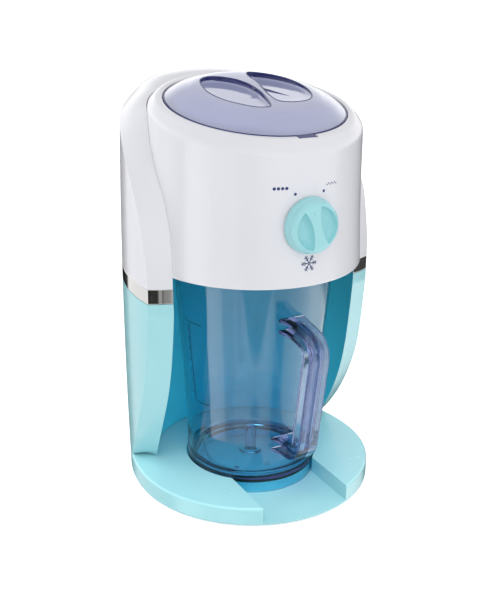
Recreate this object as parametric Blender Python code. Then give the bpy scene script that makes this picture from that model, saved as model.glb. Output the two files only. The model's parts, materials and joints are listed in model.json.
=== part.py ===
"""Countertop shaved ice machine with a lift-out jug.

All sizes below are millimetres in the machine's own frame: the front faces -Y, +Z is up, the axis of
the jug and the hopper is the Z axis and the feet stand on z = 0. GAP is the air left between neighbours.
add_object() turns sizes into metres and moves the whole machine MIDDLE_Y forward, so that the finished
model's origin is at the middle of its overall width and depth, on the standing surface.
"""

import math

import bmesh
import bpy

MM = 0.001
MIDDLE_Y = 21.0  # middle of the overall depth, from the handle's front to the end of the cord
GAP = 0.3
SEGMENTS = 40  # round a full-size shell

# Base
BASE_RADIUS = 95.0  # half width; the front of the base is a half circle
BASE_BACK = 113.0  # axis to rear edge at the base
BULGE_SIDE, BULGE_BACK = 1.3, 9.0  # how far the body swells at BULGE_Z
BULGE_Z, BULGE_HALF = 165.0, 160.0
FOOT_HEIGHT = 1.2
BASE_BOTTOM, BASE_TOP = 1.5, 15.8
WELL_FLOOR = 3.1  # floor of the jug well and of the channel in front of it
WELL_RADIUS = 54.0
CHANNEL_HALF = 36.5

# Body
COLUMN_LOW, BAND_LOW, BAND_HIGH = 16.1, 162.0, 173.0
COLUMN_IN_LOW, COLUMN_IN_HIGH = 77.2, 81.2  # radius of the wall behind the jug
WALL = 2.4
ARM_IN_START, ARM_OUT_START = -16.6, -9.6  # degrees, front edges of the arms

# Head
HEAD_BOTTOM = 181.6
HEAD_RADIUS = ((181.6, 82.4), (226.0, 81.0), (262.0, 80.6), (320.0, 80.4))  # height, radius
LID_CENTRE_Z = 297.4
LID_TILT = math.radians(10.42)  # the lid leans toward the front
LID_RADIUS, LID_OPENING = 67.2, 67.9
FLOOR_Z = 197.0
HOPPER_BOTTOM_RADIUS = 54.5

# Drive
PLATE_Z = 214.6  # underside of the shaving plate
GEAR_AXES = {"main": 0.0, "idler_a": 28.4, "idler_b": 57.3, "motor": 81.5}  # y of each axis
GEARS = {  # pitch radius (a share of the centre distance), teeth, low z, high z
    "main": (28.4 * 30 / 42, 30, 201.2, 205.8),
    "idler_a_small": (28.4 * 12 / 42, 12, 201.2, 205.8),
    "idler_a_large": (28.9 * 33 / 43, 33, 206.2, 210.0),
    "idler_b_small": (28.9 * 10 / 43, 10, 205.2, 210.0),
    "idler_b_large": (24.2 * 26 / 36, 26, 201.2, 205.2),
    "motor": (24.2 * 10 / 36, 10, 201.2, 205.6),
}
TOOTH_ABOVE, TOOTH_BELOW = 0.9, 1.25  # tooth height outside and inside the pitch circle
SHAFT_RADIUS = 4.0

# Knob
KNOB_Z, KNOB_RADIUS, KNOB_DEPTH = 226.0, 20.6, 12.5
KNOB_FRONT = -81.7
KNOB_REST = math.radians(15.0)  # turned toward coarse, from the middle
CRANK = 2.0

# Jug
JUG_OUT = ((3.4, 51.0), (15.6, 51.2), (16.3, 50.5), (17.0, 51.5), (40.0, 51.2), (85.0, 53.8),
           (123.0, 57.1), (162.0, 60.4), (179.6, 61.7), (180.6, 61.3))  # height, radius
JUG_IN = ((180.6, 59.6), (123.0, 54.7), (85.0, 51.4), (40.0, 48.8), (24.0, 48.4), (19.0, 46.6),
          (15.6, 43.0), (14.2, 38.0))
HANDLE_PATH = ((-59.9, 144.6), (-68.0, 144.2), (-79.0, 142.2), (-88.5, 137.6), (-94.4, 130.0),
               (-95.8, 120.0), (-92.6, 105.0), (-88.8, 90.0), (-85.0, 75.0), (-81.0, 62.5),
               (-74.5, 51.5), (-64.5, 44.6), (-52.2, 42.8))  # y, z
HANDLE_WIDTH, HANDLE_DEPTH, HANDLE_FLANGE, HANDLE_WEB = 16.0, 11.4, 2.6, 4.0

# Places in plan
FOOT_SPOTS = ((-72.0, -38.0), (72.0, -38.0), (-52.0, 76.0), (52.0, 76.0))
SCREW_SPOTS = ((-80.0, 6.0), (80.0, 6.0), (-26.0, 92.0), (26.0, 92.0))
FLOOR_SCREWS = ((-58.0, -34.0), (58.0, -34.0), (-52.0, 46.0), (52.0, 46.0))
LOCK_SPOT = (2.5, -70.4)  # in the lid's frame, under its lock tab
CORD_X, CORD_Z, CORD_END = -26.0, 8.4, 143.5

# Front edge of the arms and legs, in base radii: y of the edge, height of the edge.
HOOD_TOP_IN = ((-0.25, 1.86), (-0.246, 1.95), (-0.236, 2.08), (-0.195, 2.29), (-0.125, 2.49),
               (-0.03, 2.63), (0.06, 2.75), (0.16, 2.89), (0.25, 3.04), (0.33, 3.11), (0.5, 3.155),
               (0.88, 3.225))
HOOD_TOP_OUT = ((-0.167, 1.86), (-0.161, 1.975), (-0.128, 2.13), (-0.071, 2.35), (0.048, 2.545),
                (0.12, 2.65), (0.25, 2.76), (0.37, 2.86), (0.5, 2.95), (0.66, 3.02), (0.81, 3.06),
                (0.98, 3.12), (1.09, 3.185), (1.17, 3.225), (1.24, 3.245))
COLUMN_LOW_IN = ((-0.25, 1.62), (-0.24, 1.5), (-0.228, 1.39), (-0.185, 1.09), (-0.105, 0.8),
                 (0.03, 0.5), (0.15, 0.3), (0.25, 0.1695))
COLUMN_LOW_OUT = ((-0.167, 1.62), (-0.136, 1.34), (-0.087, 1.03), (0.0, 0.77), (0.137, 0.49),
                  (0.3, 0.25), (0.37, 0.1695))
# Angles of the sections, in degrees on the inner surface, from an arm's front edge to the back.
EDGE_STEPS = (-16.6, -16.3, -15.6, -14.2, -12.2, -9.9, -6.9, -3.3, 2.0, 8.0, 15.0, 20.0, 26.0, 33.0, 41.0,
              49.0, 57.0, 65.0, 73.5, 81.5, 90.0)
CAVITY_STEPS = (-9.9, -3.3, 2.0, 8.0, 15.0, 20.0, 26.0, 33.0, 41.0, 49.0, 57.0, 65.0, 73.5, 81.5, 90.0)


def clear_scene():
    for obj in list(bpy.data.objects):
        bpy.data.objects.remove(obj, do_unlink=True)


def material(name, colour, roughness, metallic=0.0, alpha=1.0):
    made = bpy.data.materials.new(name)
    made.use_nodes = True
    shader = made.node_tree.nodes["Principled BSDF"]
    shader.inputs["Base Color"].default_value = (*colour, 1.0)
    shader.inputs["Roughness"].default_value = roughness
    shader.inputs["Metallic"].default_value = metallic
    shader.inputs["Alpha"].default_value = alpha
    made.diffuse_color = (*colour, alpha)
    return made


def add_object(name, shape, made_of, origin=(0.0, 0.0, 0.0), sharp=35.0):
    """An object from (points, faces), with its origin at the given point."""
    points, faces = shape
    mesh = bpy.data.meshes.new(name)
    mesh.from_pydata([[(p[i] - origin[i]) * MM for i in range(3)] for p in points], [], faces)
    work = bmesh.new()
    work.from_mesh(mesh)
    bmesh.ops.recalc_face_normals(work, faces=work.faces)
    work.to_mesh(mesh)
    work.free()
    mesh.shade_smooth()
    mesh.set_sharp_from_angle(angle=math.radians(sharp))
    if made_of is not None:
        mesh.materials.append(made_of)
    obj = bpy.data.objects.new(name, mesh)
    obj.location = [origin[0] * MM, (origin[1] - MIDDLE_Y) * MM, origin[2] * MM]
    bpy.context.scene.collection.objects.link(obj)
    return obj


def combine(target, name, shape, operation="DIFFERENCE"):
    """Cuts the shape from the target, or adds it with UNION."""
    helper = add_object(f"{target.name}_{name}", shape, None)
    helper.hide_render = True
    helper.display_type = "WIRE"
    boolean = target.modifiers.new(name, "BOOLEAN")
    boolean.operation = operation
    boolean.solver = "EXACT"
    boolean.object = helper
    return target


def at(table, x):
    """Straight-line reading of a table of (x, value)."""
    for (x0, v0), (x1, v1) in zip(table, table[1:]):
        if x <= x1:
            return v0 + (v1 - v0) * max(0.0, x - x0) / (x1 - x0)
    return table[-1][1]


def eased(table, x):
    """Smooth reading of a table of (x, value) that never overshoots."""
    if x <= table[0][0] or x >= table[-1][0]:
        return table[0][1] if x <= table[0][0] else table[-1][1]
    i = max(k for k in range(len(table) - 1) if table[k][0] <= x)
    slopes = [(b[1] - a[1]) / (b[0] - a[0]) for a, b in zip(table, table[1:])]

    def slope(k):
        if k in (0, len(table) - 1):
            return slopes[0 if k == 0 else -1]
        a, b = slopes[k - 1], slopes[k]
        return 0.0 if a * b <= 0 else 2 * a * b / (a + b)

    step = table[i + 1][0] - table[i][0]
    t = (x - table[i][0]) / step
    return ((1 + 2 * t) * (1 - t) ** 2 * table[i][1] + t * (1 - t) ** 2 * step * slope(i)
            + t * t * (3 - 2 * t) * table[i + 1][1] + t * t * (t - 1) * step * slope(i + 1))


# Shapes: each gives (points, faces)


def loft(rings, closed=False):
    """Equal rings joined in order: closed joins the last to the first, otherwise both are capped."""
    count = len(rings[0])
    points = [p for ring in rings for p in ring]
    faces = []
    for i in range(len(rings) if closed else len(rings) - 1):
        a, b = i * count, (i + 1) % len(rings) * count
        for j in range(count):
            k = (j + 1) % count
            faces.append((a + j, a + k, b + k, b + j))
    if not closed:
        faces.append(tuple(range(count)))
        faces.append(tuple(range(len(points) - count, len(points))))
    return points, faces


def circle(radius, z, centre=(0.0, 0.0), segments=SEGMENTS, start=0.0):
    turn = [start + 2 * math.pi * i / segments for i in range(segments)]
    return [(centre[0] + radius * math.cos(t), centre[1] + radius * math.sin(t), z) for t in turn]


def turned(profile, centre=(0.0, 0.0), segments=24, closed=False):
    """A profile of (height, radius) turned about a vertical line."""
    return loft([circle(r, z, centre, segments) for z, r in profile], closed)


def box(low, high):
    (x0, y0, z0), (x1, y1, z1) = low, high
    return loft([[(x0, y0, z), (x1, y0, z), (x1, y1, z), (x0, y1, z)] for z in (z0, z1)])


def prism(outline, low, high):
    return loft([[(x, y, z) for x, y in outline] for z in (low, high)])


def half_width(z):
    return BASE_RADIUS + BULGE_SIDE * (1 - ((z - BULGE_Z) / BULGE_HALF) ** 2)


def half_depth(z):
    return BASE_BACK + BULGE_BACK * (1 - ((z - BULGE_Z) / BULGE_HALF) ** 2)


def body_point(angle, z, inset=0.0):
    """A point of the body's outer surface: a half circle in front, half an oval behind."""
    reach = half_width(z) if angle < 0 or angle > math.pi else half_depth(z)
    return (half_width(z) - inset) * math.cos(angle), (reach - inset) * math.sin(angle)


def base_ring(z, inset):
    ring = []
    for i in range(64):
        angle = 2 * math.pi * i / 64
        reach = BASE_RADIUS if angle > math.pi else BASE_BACK
        x, y = (BASE_RADIUS - inset) * math.cos(angle), (reach - inset) * math.sin(angle)
        ring.append((x, y, z))
    return ring


def well_outline(extra):
    """The jug well with the channel that runs from it to the front, grown by extra."""
    radius, half = WELL_RADIUS + extra, CHANNEL_HALF + extra
    start = -math.pi / 2 + math.asin(half / radius)
    sweep = 2 * math.pi - 2 * math.asin(half / radius)
    arc = [start + sweep * i / 40 for i in range(41)]
    outline = [(radius * math.cos(t), radius * math.sin(t)) for t in arc]
    return outline + [(-half, -110.0), (half, -110.0)]


# The column, the band and the hood are one crescent-shaped wall, swept round the axis.


def wall_angles(step):
    """Angles of the inner and the outer surface; the outer one starts further back."""
    inner = math.radians(step)
    start_in, start_out = math.radians(ARM_IN_START), math.radians(ARM_OUT_START)
    share = (math.pi / 2 - inner) / (math.pi / 2 - start_in)
    return inner, math.pi / 2 - share * (math.pi / 2 - start_out)


def wall_section(angles, low, high, radius_in, bulge=(0.0, 0.0), ridge=0.0, inset=0.0):
    """One ring of the wall: along the bottom, up the outside, along the top, down the inside."""

    def point(share, z, lift=0.0):
        radius = radius_in(z) + inset
        ix, iy = radius * math.cos(angles[0]), radius * math.sin(angles[0])
        ox, oy = body_point(angles[1], z, inset)
        push = ridge * (1 - abs(2 * share - 1))
        x, y = ix + (ox - ix) * share, iy + (oy - iy) * share - push
        return x, y, z + lift * 4 * share * (1 - share)

    shares = (0.0, 0.25, 0.5, 0.75, 1.0)
    levels = (1 / 3, 2 / 3)
    ring = [point(s, low[0] + (low[1] - low[0]) * s, -bulge[0]) for s in shares]
    ring += [point(1.0, low[1] + (high[1] - low[1]) * k) for k in levels]
    ring += [point(s, high[0] + (high[1] - high[0]) * s, bulge[1]) for s in reversed(shares)]
    ring += [point(0.0, high[0] + (low[0] - high[0]) * k) for k in levels]
    return ring


def swept_wall(section_at, steps):
    """Sections from the right arm round the back to the left arm, with both ends capped."""
    right = [section_at(step, *wall_angles(step)) for step in steps]
    left = [[(-x, y, z) for x, y, z in ring] for ring in reversed(right[:-1])]
    points, faces = loft(right + left)
    count, last = len(right[0]), len(points) - len(right[0])
    # The first section's cap folds along the ridge in the middle of the arm's front face.
    del faces[-2:]
    middle_low, middle_high = 2, 9
    outside = list(range(middle_low, middle_high + 1))
    inside = list(range(middle_high, count)) + list(range(0, middle_low + 1))
    for start in (0, last):
        faces.append(tuple(start + i for i in outside))
        faces.append(tuple(start + i for i in inside))
    return points, faces


def ridge_of(step):
    return 0.9 if step <= ARM_IN_START else 0.0


def edge_y(angle):
    """y of the inner surface at this angle, in base radii."""
    return 0.874 * math.sin(angle)


def column_radius(z):
    share = (z - COLUMN_LOW) / (BAND_LOW - COLUMN_LOW)
    return COLUMN_IN_LOW + (COLUMN_IN_HIGH - COLUMN_IN_LOW) * share


def hood_radius(z):
    return at(HEAD_RADIUS, z) + 0.8


def band_radius(z):
    return 81.6


def column_section(step, inner, outer, inset=0.0):
    """The legs lean back toward the base, so the wall's lower edge climbs toward the front."""
    back = inset * 1.3 / BASE_RADIUS
    y_in = edge_y(inner) - back
    y_out = body_point(outer, 60.0)[1] / BASE_RADIUS - back
    low = [eased(COLUMN_LOW_IN, y_in) * BASE_RADIUS, eased(COLUMN_LOW_OUT, y_out) * BASE_RADIUS]
    high = BAND_LOW - GAP
    if inset:
        open_below = step > 30.0
        low = [COLUMN_LOW - 6.0] * 2 if open_below else [z + 2.0 for z in low]
        high += 6.0
    bulge = 0.8 if step < 14.0 else 0.0
    return wall_section((inner, outer), low, (high, high), column_radius, (bulge, 0.0),
                        ridge_of(step), inset)


def hood_section(step, inner, outer, inset=0.0):
    back = inset * 1.4 / BASE_RADIUS
    y_out = body_point(outer, 270.0)[1] / BASE_RADIUS - back
    high = [eased(HOOD_TOP_IN, edge_y(inner) - back) * BASE_RADIUS,
            eased(HOOD_TOP_OUT, y_out) * BASE_RADIUS]
    low = BAND_HIGH + GAP
    if inset:
        low -= 6.0
        high = [z - inset - 0.6 for z in high]
    bulge = 1.2 + 2.3 * max(0.0, min(1.0, step / 35.0))
    return wall_section((inner, outer), (low, low), high, hood_radius, (0.0, bulge),
                        ridge_of(step), inset)


def band_section(step, inner, outer, inset=0.0):
    low, high = BAND_LOW, BAND_HIGH
    if inset:
        low, high = low - 5.0, high + 5.0
    return wall_section((inner, outer), (low, low), (high, high), band_radius, (0.0, 0.0),
                        ridge_of(step), inset)


def hollow_wall(name, section_at, made_of, cavity_steps=CAVITY_STEPS):
    obj = add_object(name, swept_wall(section_at, EDGE_STEPS), made_of, sharp=28.0)

    def cavity(step, inner, outer):
        return section_at(step, inner, outer, WALL)

    return combine(obj, "cavity", swept_wall(cavity, cavity_steps))


# The head's top leans forward with the lid.


def tilted(radius, height, centre=(0.0, 0.0), segments=SEGMENTS):
    """A circle in the lid's leaning frame; height is along the lid's axis."""
    cos, sin = math.cos(LID_TILT), math.sin(LID_TILT)
    ring = []
    for u, v, h in circle(radius, height, centre, segments):
        ring.append((u, v * cos - h * sin, LID_CENTRE_Z + v * sin + h * cos))
    return ring


def sheared(radius, drop):
    """A circle of the head's shoulder: round in plan, leaning like the lid."""
    slope = math.tan(LID_TILT)
    return [(x, y, LID_CENTRE_Z + y * slope + drop) for x, y, _ in circle(radius, 0.0)]


def head_housing(plastic):
    outside = [circle(81.7, HEAD_BOTTOM), circle(82.4, 182.4), circle(81.0, 226.0), circle(80.6, 262.0)]
    shoulder = [sheared(80.4, -5.2), sheared(79.8, -2.7), sheared(78.3, -0.9), sheared(75.6, 0.1),
                sheared(70.6, 0.8), tilted(68.6, 0.6), tilted(LID_OPENING, -0.2)]
    inside = [tilted(LID_OPENING, -3.0), tilted(76.9, -3.0), sheared(77.9, -7.0), circle(77.9, 262.0),
              circle(78.3, 226.0), circle(79.6, HEAD_BOTTOM)]
    head = add_object("head_housing", loft(outside + shoulder + inside, closed=True), plastic)
    combine(head, "motor_window", box((-24.0, 60.0, 199.0), (24.0, 100.0, 265.0)))
    combine(head, "knob_bore", along_y(6.0, -90.0, -70.0, 0.0, KNOB_Z))
    combine(head, "lock_notch", box((-5.2, -71.4, 270.0), (10.2, -60.0, 292.0)))
    return head


def along_y(radius, y0, y1, x, z, segments=20):
    """A plain rod along Y."""
    points, faces = turned(((y0, radius), (y1, radius)), segments=segments)
    return [(px + x, pz, py + z) for px, py, pz in points], faces


def column(plastic):
    made = hollow_wall("column", column_section, plastic)
    return combine(made, "switch_hole", box((-10.4, 105.0, 52.6), (10.4, 130.0, 73.4)))


def chrome_band(chrome):
    return hollow_wall("chrome_band", band_section, chrome)


def hood(plastic):
    made = hollow_wall("hood", hood_section, plastic)
    return combine(made, "motor_window", box((-24.0, 70.0, 199.0), (24.0, 90.0, 265.0)))


def base_tray(plastic):
    rings = [base_ring(BASE_BOTTOM, 0.6), base_ring(BASE_BOTTOM + 0.6, 0.0),
             base_ring(BASE_TOP - 1.2, 0.0), base_ring(BASE_TOP - 0.35, 0.35), base_ring(BASE_TOP, 1.2)]
    tray = add_object("base_tray", loft(rings), plastic)
    combine(tray, "well", prism(well_outline(0.0), WELL_FLOOR, BASE_TOP + 5))
    hollow = add_object("base_tray_hollow", loft([base_ring(0.0, WALL), base_ring(13.4, WALL)]), None)
    hollow.hide_render = True
    hollow.display_type = "WIRE"
    combine(hollow, "keep", prism(well_outline(WALL), -1.0, 20.0))
    combine(tray, "cord_hole", along_y(2.8, 95.0, 118.0, CORD_X, CORD_Z, 10))
    cut = tray.modifiers.new("hollow", "BOOLEAN")
    cut.operation, cut.solver, cut.object = "DIFFERENCE", "EXACT", hollow
    return tray


def base_cover(plastic):
    rings = [base_ring(BASE_BOTTOM, WALL + GAP), base_ring(BASE_BOTTOM + 1.8, WALL + GAP)]
    cover = add_object("base_cover", loft(rings), plastic)
    combine(cover, "well", prism(well_outline(WALL + GAP), 0.0, 10.0))
    for i, (x, y) in enumerate(SCREW_SPOTS):
        combine(cover, f"screw_hole_{i + 1}", turned(((0.0, 3.3), (5.0, 3.3)), (x, y), 12))
    return cover


def feet(rubber):
    for i, (x, y) in enumerate(FOOT_SPOTS):
        profile = ((0.0, 6.4), (0.5, 7.0), (FOOT_HEIGHT, 7.0))
        add_object(f"foot_{i + 1}", turned(profile, (x, y), 16), rubber)


def screw(name, x, y, z, length, steel, up=1.0, head=2.8, shank=1.4):
    """A pan-head screw with its head's face at z and its shank going up, or down with up = -1."""
    profile = ((0.0, head * 0.8), (0.4, head), (1.4, head), (1.5, shank), (length, shank))
    add_object(name, turned([(z + up * h, r) for h, r in profile], (x, y), 8), steel)


def base_screws(steel):
    for i, (x, y) in enumerate(SCREW_SPOTS):
        screw(f"base_screw_{i + 1}", x, y, BASE_BOTTOM + 0.1, 11.0, steel)


def head_floor(plastic):
    floor = add_object("head_floor", turned(((FLOOR_Z, 78.6), (FLOOR_Z + 2.4, 78.5)), segments=SEGMENTS),
                       plastic)
    combine(floor, "chute", box((-16.4, -54.4, 190.0), (16.4, -21.6, 210.0)))
    for i, (x, y) in enumerate(FLOOR_SCREWS):
        combine(floor, f"hole_{i + 1}", turned(((190.0, 1.8), (205.0, 1.8)), (x, y), 10))
    return floor


def floor_screws(steel):
    for i, (x, y) in enumerate(FLOOR_SCREWS):
        screw(f"floor_screw_{i + 1}", x, y, FLOOR_Z - 1.7, 10.0, steel)


def ice_chute(plastic):
    """A short rectangular spout that hangs from the floor, over the jug."""
    spout = add_object("ice_chute", box((-16.0, -54.0, 190.0), (16.0, -22.0, 203.0)), plastic)
    return combine(spout, "bore", box((-14.4, -52.4, 180.0), (14.4, -23.6, 210.0)))


def hopper(plastic):
    """The ice bowl: its flange hangs under the head's shoulder and its foot holds the shaving plate."""
    outer = [tilted(76.0, -3.6), tilted(76.0, -5.6), tilted(66.9, -5.9), circle(57.0, 236.0),
             circle(HOPPER_BOTTOM_RADIUS, 214.3)]
    inner = [circle(52.3, 214.3), circle(52.3, 219.0), circle(54.6, 236.0), tilted(64.6, -6.4),
             tilted(64.6, -3.6)]
    bowl = add_object("ice_hopper", loft(outer + inner, closed=True), plastic)
    return combine(bowl, "plunger_hole", lid_rod(2.0, -9.0, 0.0))


def lid_rod(radius, low, high, segments=12):
    return loft([tilted(radius, low, LOCK_SPOT, segments), tilted(radius, high, LOCK_SPOT, segments)])


LID_PROFILE = ((0.0, 11.5), (20.0, 11.3), (42.0, 10.6), (52.0, 8.0), (60.0, 4.6), (66.6, 0.3))
LEFT_BOWL = ((-6, 25.5), (-2.3, 17.5), (-0.3, 8.8), (-0.4, -5), (-1.4, -12), (-3.6, -22.6),
             (-6, -32), (-9, -36.5), (-19, -34.6), (-27.7, -26.4), (-35.6, -15), (-38.8, 0),
             (-37.7, 10), (-35, 22), (-31, 31), (-24, 35.5), (-15, 33.5))
RIGHT_BOWL = ((11, 38), (8.6, 30), (8.8, 14), (6.5, 4), (3.6, -8), (2.2, -18), (2.6, -26), (8, -29.5),
              (17, -30.5), (27, -28.5), (35, -21), (39.5, -8), (40.5, 5), (38, 18), (32, 29),
              (24, 37), (16, 41))


def rounded(outline):
    """The outline with its corners cut once."""
    made = []
    for (x0, y0), (x1, y1) in zip(outline, outline[1:] + outline[:1]):
        made += [(0.75 * x0 + 0.25 * x1, 0.75 * y0 + 0.25 * y1),
                 (0.25 * x0 + 0.75 * x1, 0.25 * y0 + 0.75 * y1)]
    return made


def bowl_rings(outline, levels):
    """Rings of a finger bowl: (growth in mm, height), where None follows the lid's top less 1 mm."""
    outline = rounded(outline)
    cu = sum(u for u, _ in outline) / len(outline)
    cv = sum(v for _, v in outline) / len(outline)
    rings = []
    for growth, height in levels:
        ring = []
        for u, v in outline:
            reach = math.hypot(u - cu, v - cv)
            pu, pv = cu + (u - cu) * (1 + growth / reach), cv + (v - cv) * (1 + growth / reach)
            h = at(LID_PROFILE, math.hypot(pu, pv)) - 1.0 if height is None else height
            ring.append((pu, pv, h))
        rings.append(ring)
    return rings


def in_lid_frame(rings):
    cos, sin = math.cos(LID_TILT), math.sin(LID_TILT)
    return [[(u, v * cos - h * sin, LID_CENTRE_Z + v * sin + h * cos) for u, v, h in ring]
            for ring in rings]


def lid(clear):
    """A domed cover with a skirt; two finger bowls leave a grip ridge between them."""
    top = ((66.9, -3.3), (LID_RADIUS, -2.9), (LID_RADIUS, -0.5), (66.6, 0.3), (60.0, 4.6),
           (52.0, 8.0), (42.0, 10.6), (20.0, 11.3))
    under = ((20.0, 9.1), (41.0, 8.4), (50.8, 5.9), (58.6, 2.6), (60.9, 0.6), (60.9, -8.4), (62.9, -8.4),
             (63.1, -3.3))
    shape = loft([tilted(r, h) for r, h in under + top])
    made = add_object("lid", shape, clear, (0.0, 0.0, LID_CENTRE_Z))
    for side, outline in (("left", list(LEFT_BOWL)), ("right", list(RIGHT_BOWL))):
        pocket = bowl_rings(outline, ((1.2, None), (-0.6, 2.6), (-6.5, -0.4)))
        combine(made, f"{side}_pocket", loft(in_lid_frame(pocket)), "UNION")
    for side, outline in (("left", list(LEFT_BOWL)), ("right", list(RIGHT_BOWL))):
        scoop = bowl_rings(outline, ((0.2, 14.0), (-2.6, 4.6), (-8.5, 1.6)))
        combine(made, f"{side}_bowl", loft(in_lid_frame(scoop)))
    tab = [[(u, v, h) for u, v in ((-4.5, -71.7), (9.5, -71.7), (9.5, -64.4), (-4.5, -64.4))]
           for h in (-3.2, -0.1)]
    return combine(made, "lock_tab", loft(in_lid_frame(tab)), "UNION")


def interlock(plastic, steel):
    """A switch under the lock tab: its plunger is held down while the lid is on."""
    origin = tilted(1.0, -12.0, LOCK_SPOT, 4)[0]
    plunger = loft([tilted(r, h, LOCK_SPOT, 12) for r, h in ((1.2, -12.8), (1.2, -4.1), (0.9, -3.6))])
    add_object("interlock_plunger", plunger, steel, origin)
    body = [[(u, v, h) for u, v in ((-6.5, -75.2), (11.5, -75.2), (11.5, -68.2), (-6.5, -68.2))]
            for h in (-22.0, -9.4)]
    switch = add_object("interlock_switch", loft(in_lid_frame(body)), plastic)
    return combine(switch, "plunger_bore", lid_rod(1.6, -15.2, 0.0))


def knob(plastic, steel):
    """A round knob with two scooped finger hollows; it rests turned a little toward coarse."""
    y = KNOB_FRONT - GAP - 0.2
    profile = ((0.0, KNOB_RADIUS), (5.0, KNOB_RADIUS - 0.3), (9.0, 19.2), (11.4, 17.4), (KNOB_DEPTH, 14.6),
               (KNOB_DEPTH + 0.4, 8.0))
    made = add_object("knob", on_knob(turned(profile, segments=40), y), plastic, (0.0, y, KNOB_Z), 50.0)
    for side in (-1, 1):
        levels = ((1.06, 15.0), (0.99, 12.0), (0.86, 8.6), (0.6, 6.6))
        rings = [scoop_ring(side, scale, height) for scale, height in levels]
        combine(made, "left_scoop" if side < 0 else "right_scoop", on_knob(loft(rings), y))
    shaft = ((-16.2, 4.6), (-0.4, 4.6))
    rod = add_object("knob_shaft", on_knob(turned(shaft, segments=20), y), steel, (0.0, y, KNOB_Z))
    pin = turned(((-20.4, 1.2), (-16.0, 1.2)), (CRANK, 0.0), 12)
    return combine(rod, "crank_pin", on_knob(pin, y), "UNION")


def on_knob(shape, y):
    """Turns a shape built along +Z to face the front at the knob, at the knob's resting angle."""
    points, faces = shape
    cos, sin = math.cos(KNOB_REST), math.sin(KNOB_REST)
    return [(px * cos - py * sin, y - pz, KNOB_Z + px * sin + py * cos) for px, py, pz in points], faces


def scoop_ring(side, scale, height):
    ring = []
    for i in range(13):
        t = math.radians(-66.0 + 132.0 * i / 12)
        ring.append((15.9 * math.cos(t), 15.9 * math.sin(t)))
    for i in range(1, 8):
        v = 14.5 * (1 - i / 4)
        ring.append((3.4 + 3.0 * (v / 14.5) ** 2, v))
    middle = 9.2
    return [(side * (middle + (u - middle) * scale), v * scale, height) for u, v in ring]


def blade_adjuster(plastic, steel, bright):
    """The carriage under the shaving plate; the knob's crank pin raises and lowers it."""
    rest = CRANK * math.sin(KNOB_REST)
    foot = box((-9.0, -62.6, 205.8), (9.0, -22.2, 208.2))
    carriage = add_object("blade_carriage", foot, plastic, (0.0, -61.0, KNOB_Z + rest))
    combine(carriage, "tongue", box((-8.0, -62.6, 206.5), (8.0, -59.6, 231.0)), "UNION")
    combine(carriage, "post", box((-9.0, -52.0, 207.0), (-4.8, -22.2, 211.6)), "UNION")
    combine(carriage, "ice_gap", box((-4.6, -51.0, 200.0), (6.4, -24.0, 220.0)))
    combine(carriage, "pin_slot", box((-6.0, -70.0, KNOB_Z + rest - 1.6), (6.0, -55.0, KNOB_Z + rest + 1.6)))
    blade_points = [((x, y, z), (x, y, z + 0.9)) for x, y, z in
                    ((-8.8, -50.0, 212.3), (0.4, -50.0, 216.9), (0.4, -22.5, 216.9), (-8.8, -22.5, 212.3))]
    low, high = [p[0] for p in blade_points], [p[1] for p in blade_points]
    add_object("shaving_blade", loft([low, high]), bright, (0.0, -61.0, KNOB_Z + rest))


def shaving_plate(bright):
    disc = turned(((PLATE_Z, 52.0), (PLATE_Z + 2.0, 52.0)), segments=SEGMENTS)
    plate = add_object("shaving_plate", disc, bright)
    combine(plate, "shaft_bore", turned(((200.0, 7.9), (230.0, 7.9)), segments=20))
    return combine(plate, "blade_slot", box((-7.8, -51.6, 210.0), (3.2, -19.8, 220.0)))


def plate_bush(brass):
    profile = ((211.0, SHAFT_RADIUS + GAP), (211.0, 7.6), (217.6, 7.6), (217.6, SHAFT_RADIUS + GAP))
    add_object("plate_bush", turned(profile, segments=20, closed=True), brass)


def rotor(plastic, steel):
    """The ice pusher: a hub with three leaning paddles, on the drive shaft."""
    hub = ((219.2, 9.5), (236.0, 8.6), (256.0, 6.4), (262.0, 4.2), (263.4, 2.0))
    made = add_object("ice_rotor", turned(hub, segments=20), plastic)
    for i in range(3):
        turn = math.radians(90.0 + 120.0 * i)
        paddle = []
        for z, reach, lean in ((219.2, 48.0, 0.0), (240.0, 50.0, 3.0), (247.0, 34.0, 4.5)):
            corners = ((4.0, lean - 1.6), (reach, lean - 1.6), (reach, lean + 1.6), (4.0, lean + 1.6))
            cos, sin = math.cos(turn), math.sin(turn)
            paddle.append([(u * cos - v * sin, u * sin + v * cos, z) for u, v in corners])
        combine(made, f"paddle_{i + 1}", loft(paddle), "UNION")
    bore = turned(((210.0, SHAFT_RADIUS + GAP), (247.0, SHAFT_RADIUS + GAP)), segments=20)
    combine(made, "shaft_bore", bore)
    add_object("drive_shaft", turned(((200.0, 3.4), (200.6, SHAFT_RADIUS), (246.0, SHAFT_RADIUS),
                                      (246.6, 3.4)), segments=20), steel)
    return made


def gear_outline(key, z):
    """Trapezoid teeth. A wheel has a gap toward the gear behind it and a pinion a tooth toward the front."""
    radius, teeth = GEARS[key][:2]
    y = GEAR_AXES[key.replace("_small", "").replace("_large", "")]
    wheel = key == "main" or key.endswith("_large")
    first = math.pi / 2 + math.pi / teeth if wheel else -math.pi / 2
    ring = []
    for i in range(teeth):
        for share, r in ((-0.27, radius - TOOTH_BELOW), (-0.10, radius + TOOTH_ABOVE),
                         (0.10, radius + TOOTH_ABOVE), (0.27, radius - TOOTH_BELOW)):
            t = first + (i + share) * 2 * math.pi / teeth
            ring.append((r * math.cos(t), y + r * math.sin(t), z))
    return ring


def gear_wheel(key, lower=0.0, upper=0.0):
    low, high = GEARS[key][2:]
    return loft([gear_outline(key, z) for z in (low - lower, high + upper)])


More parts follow.
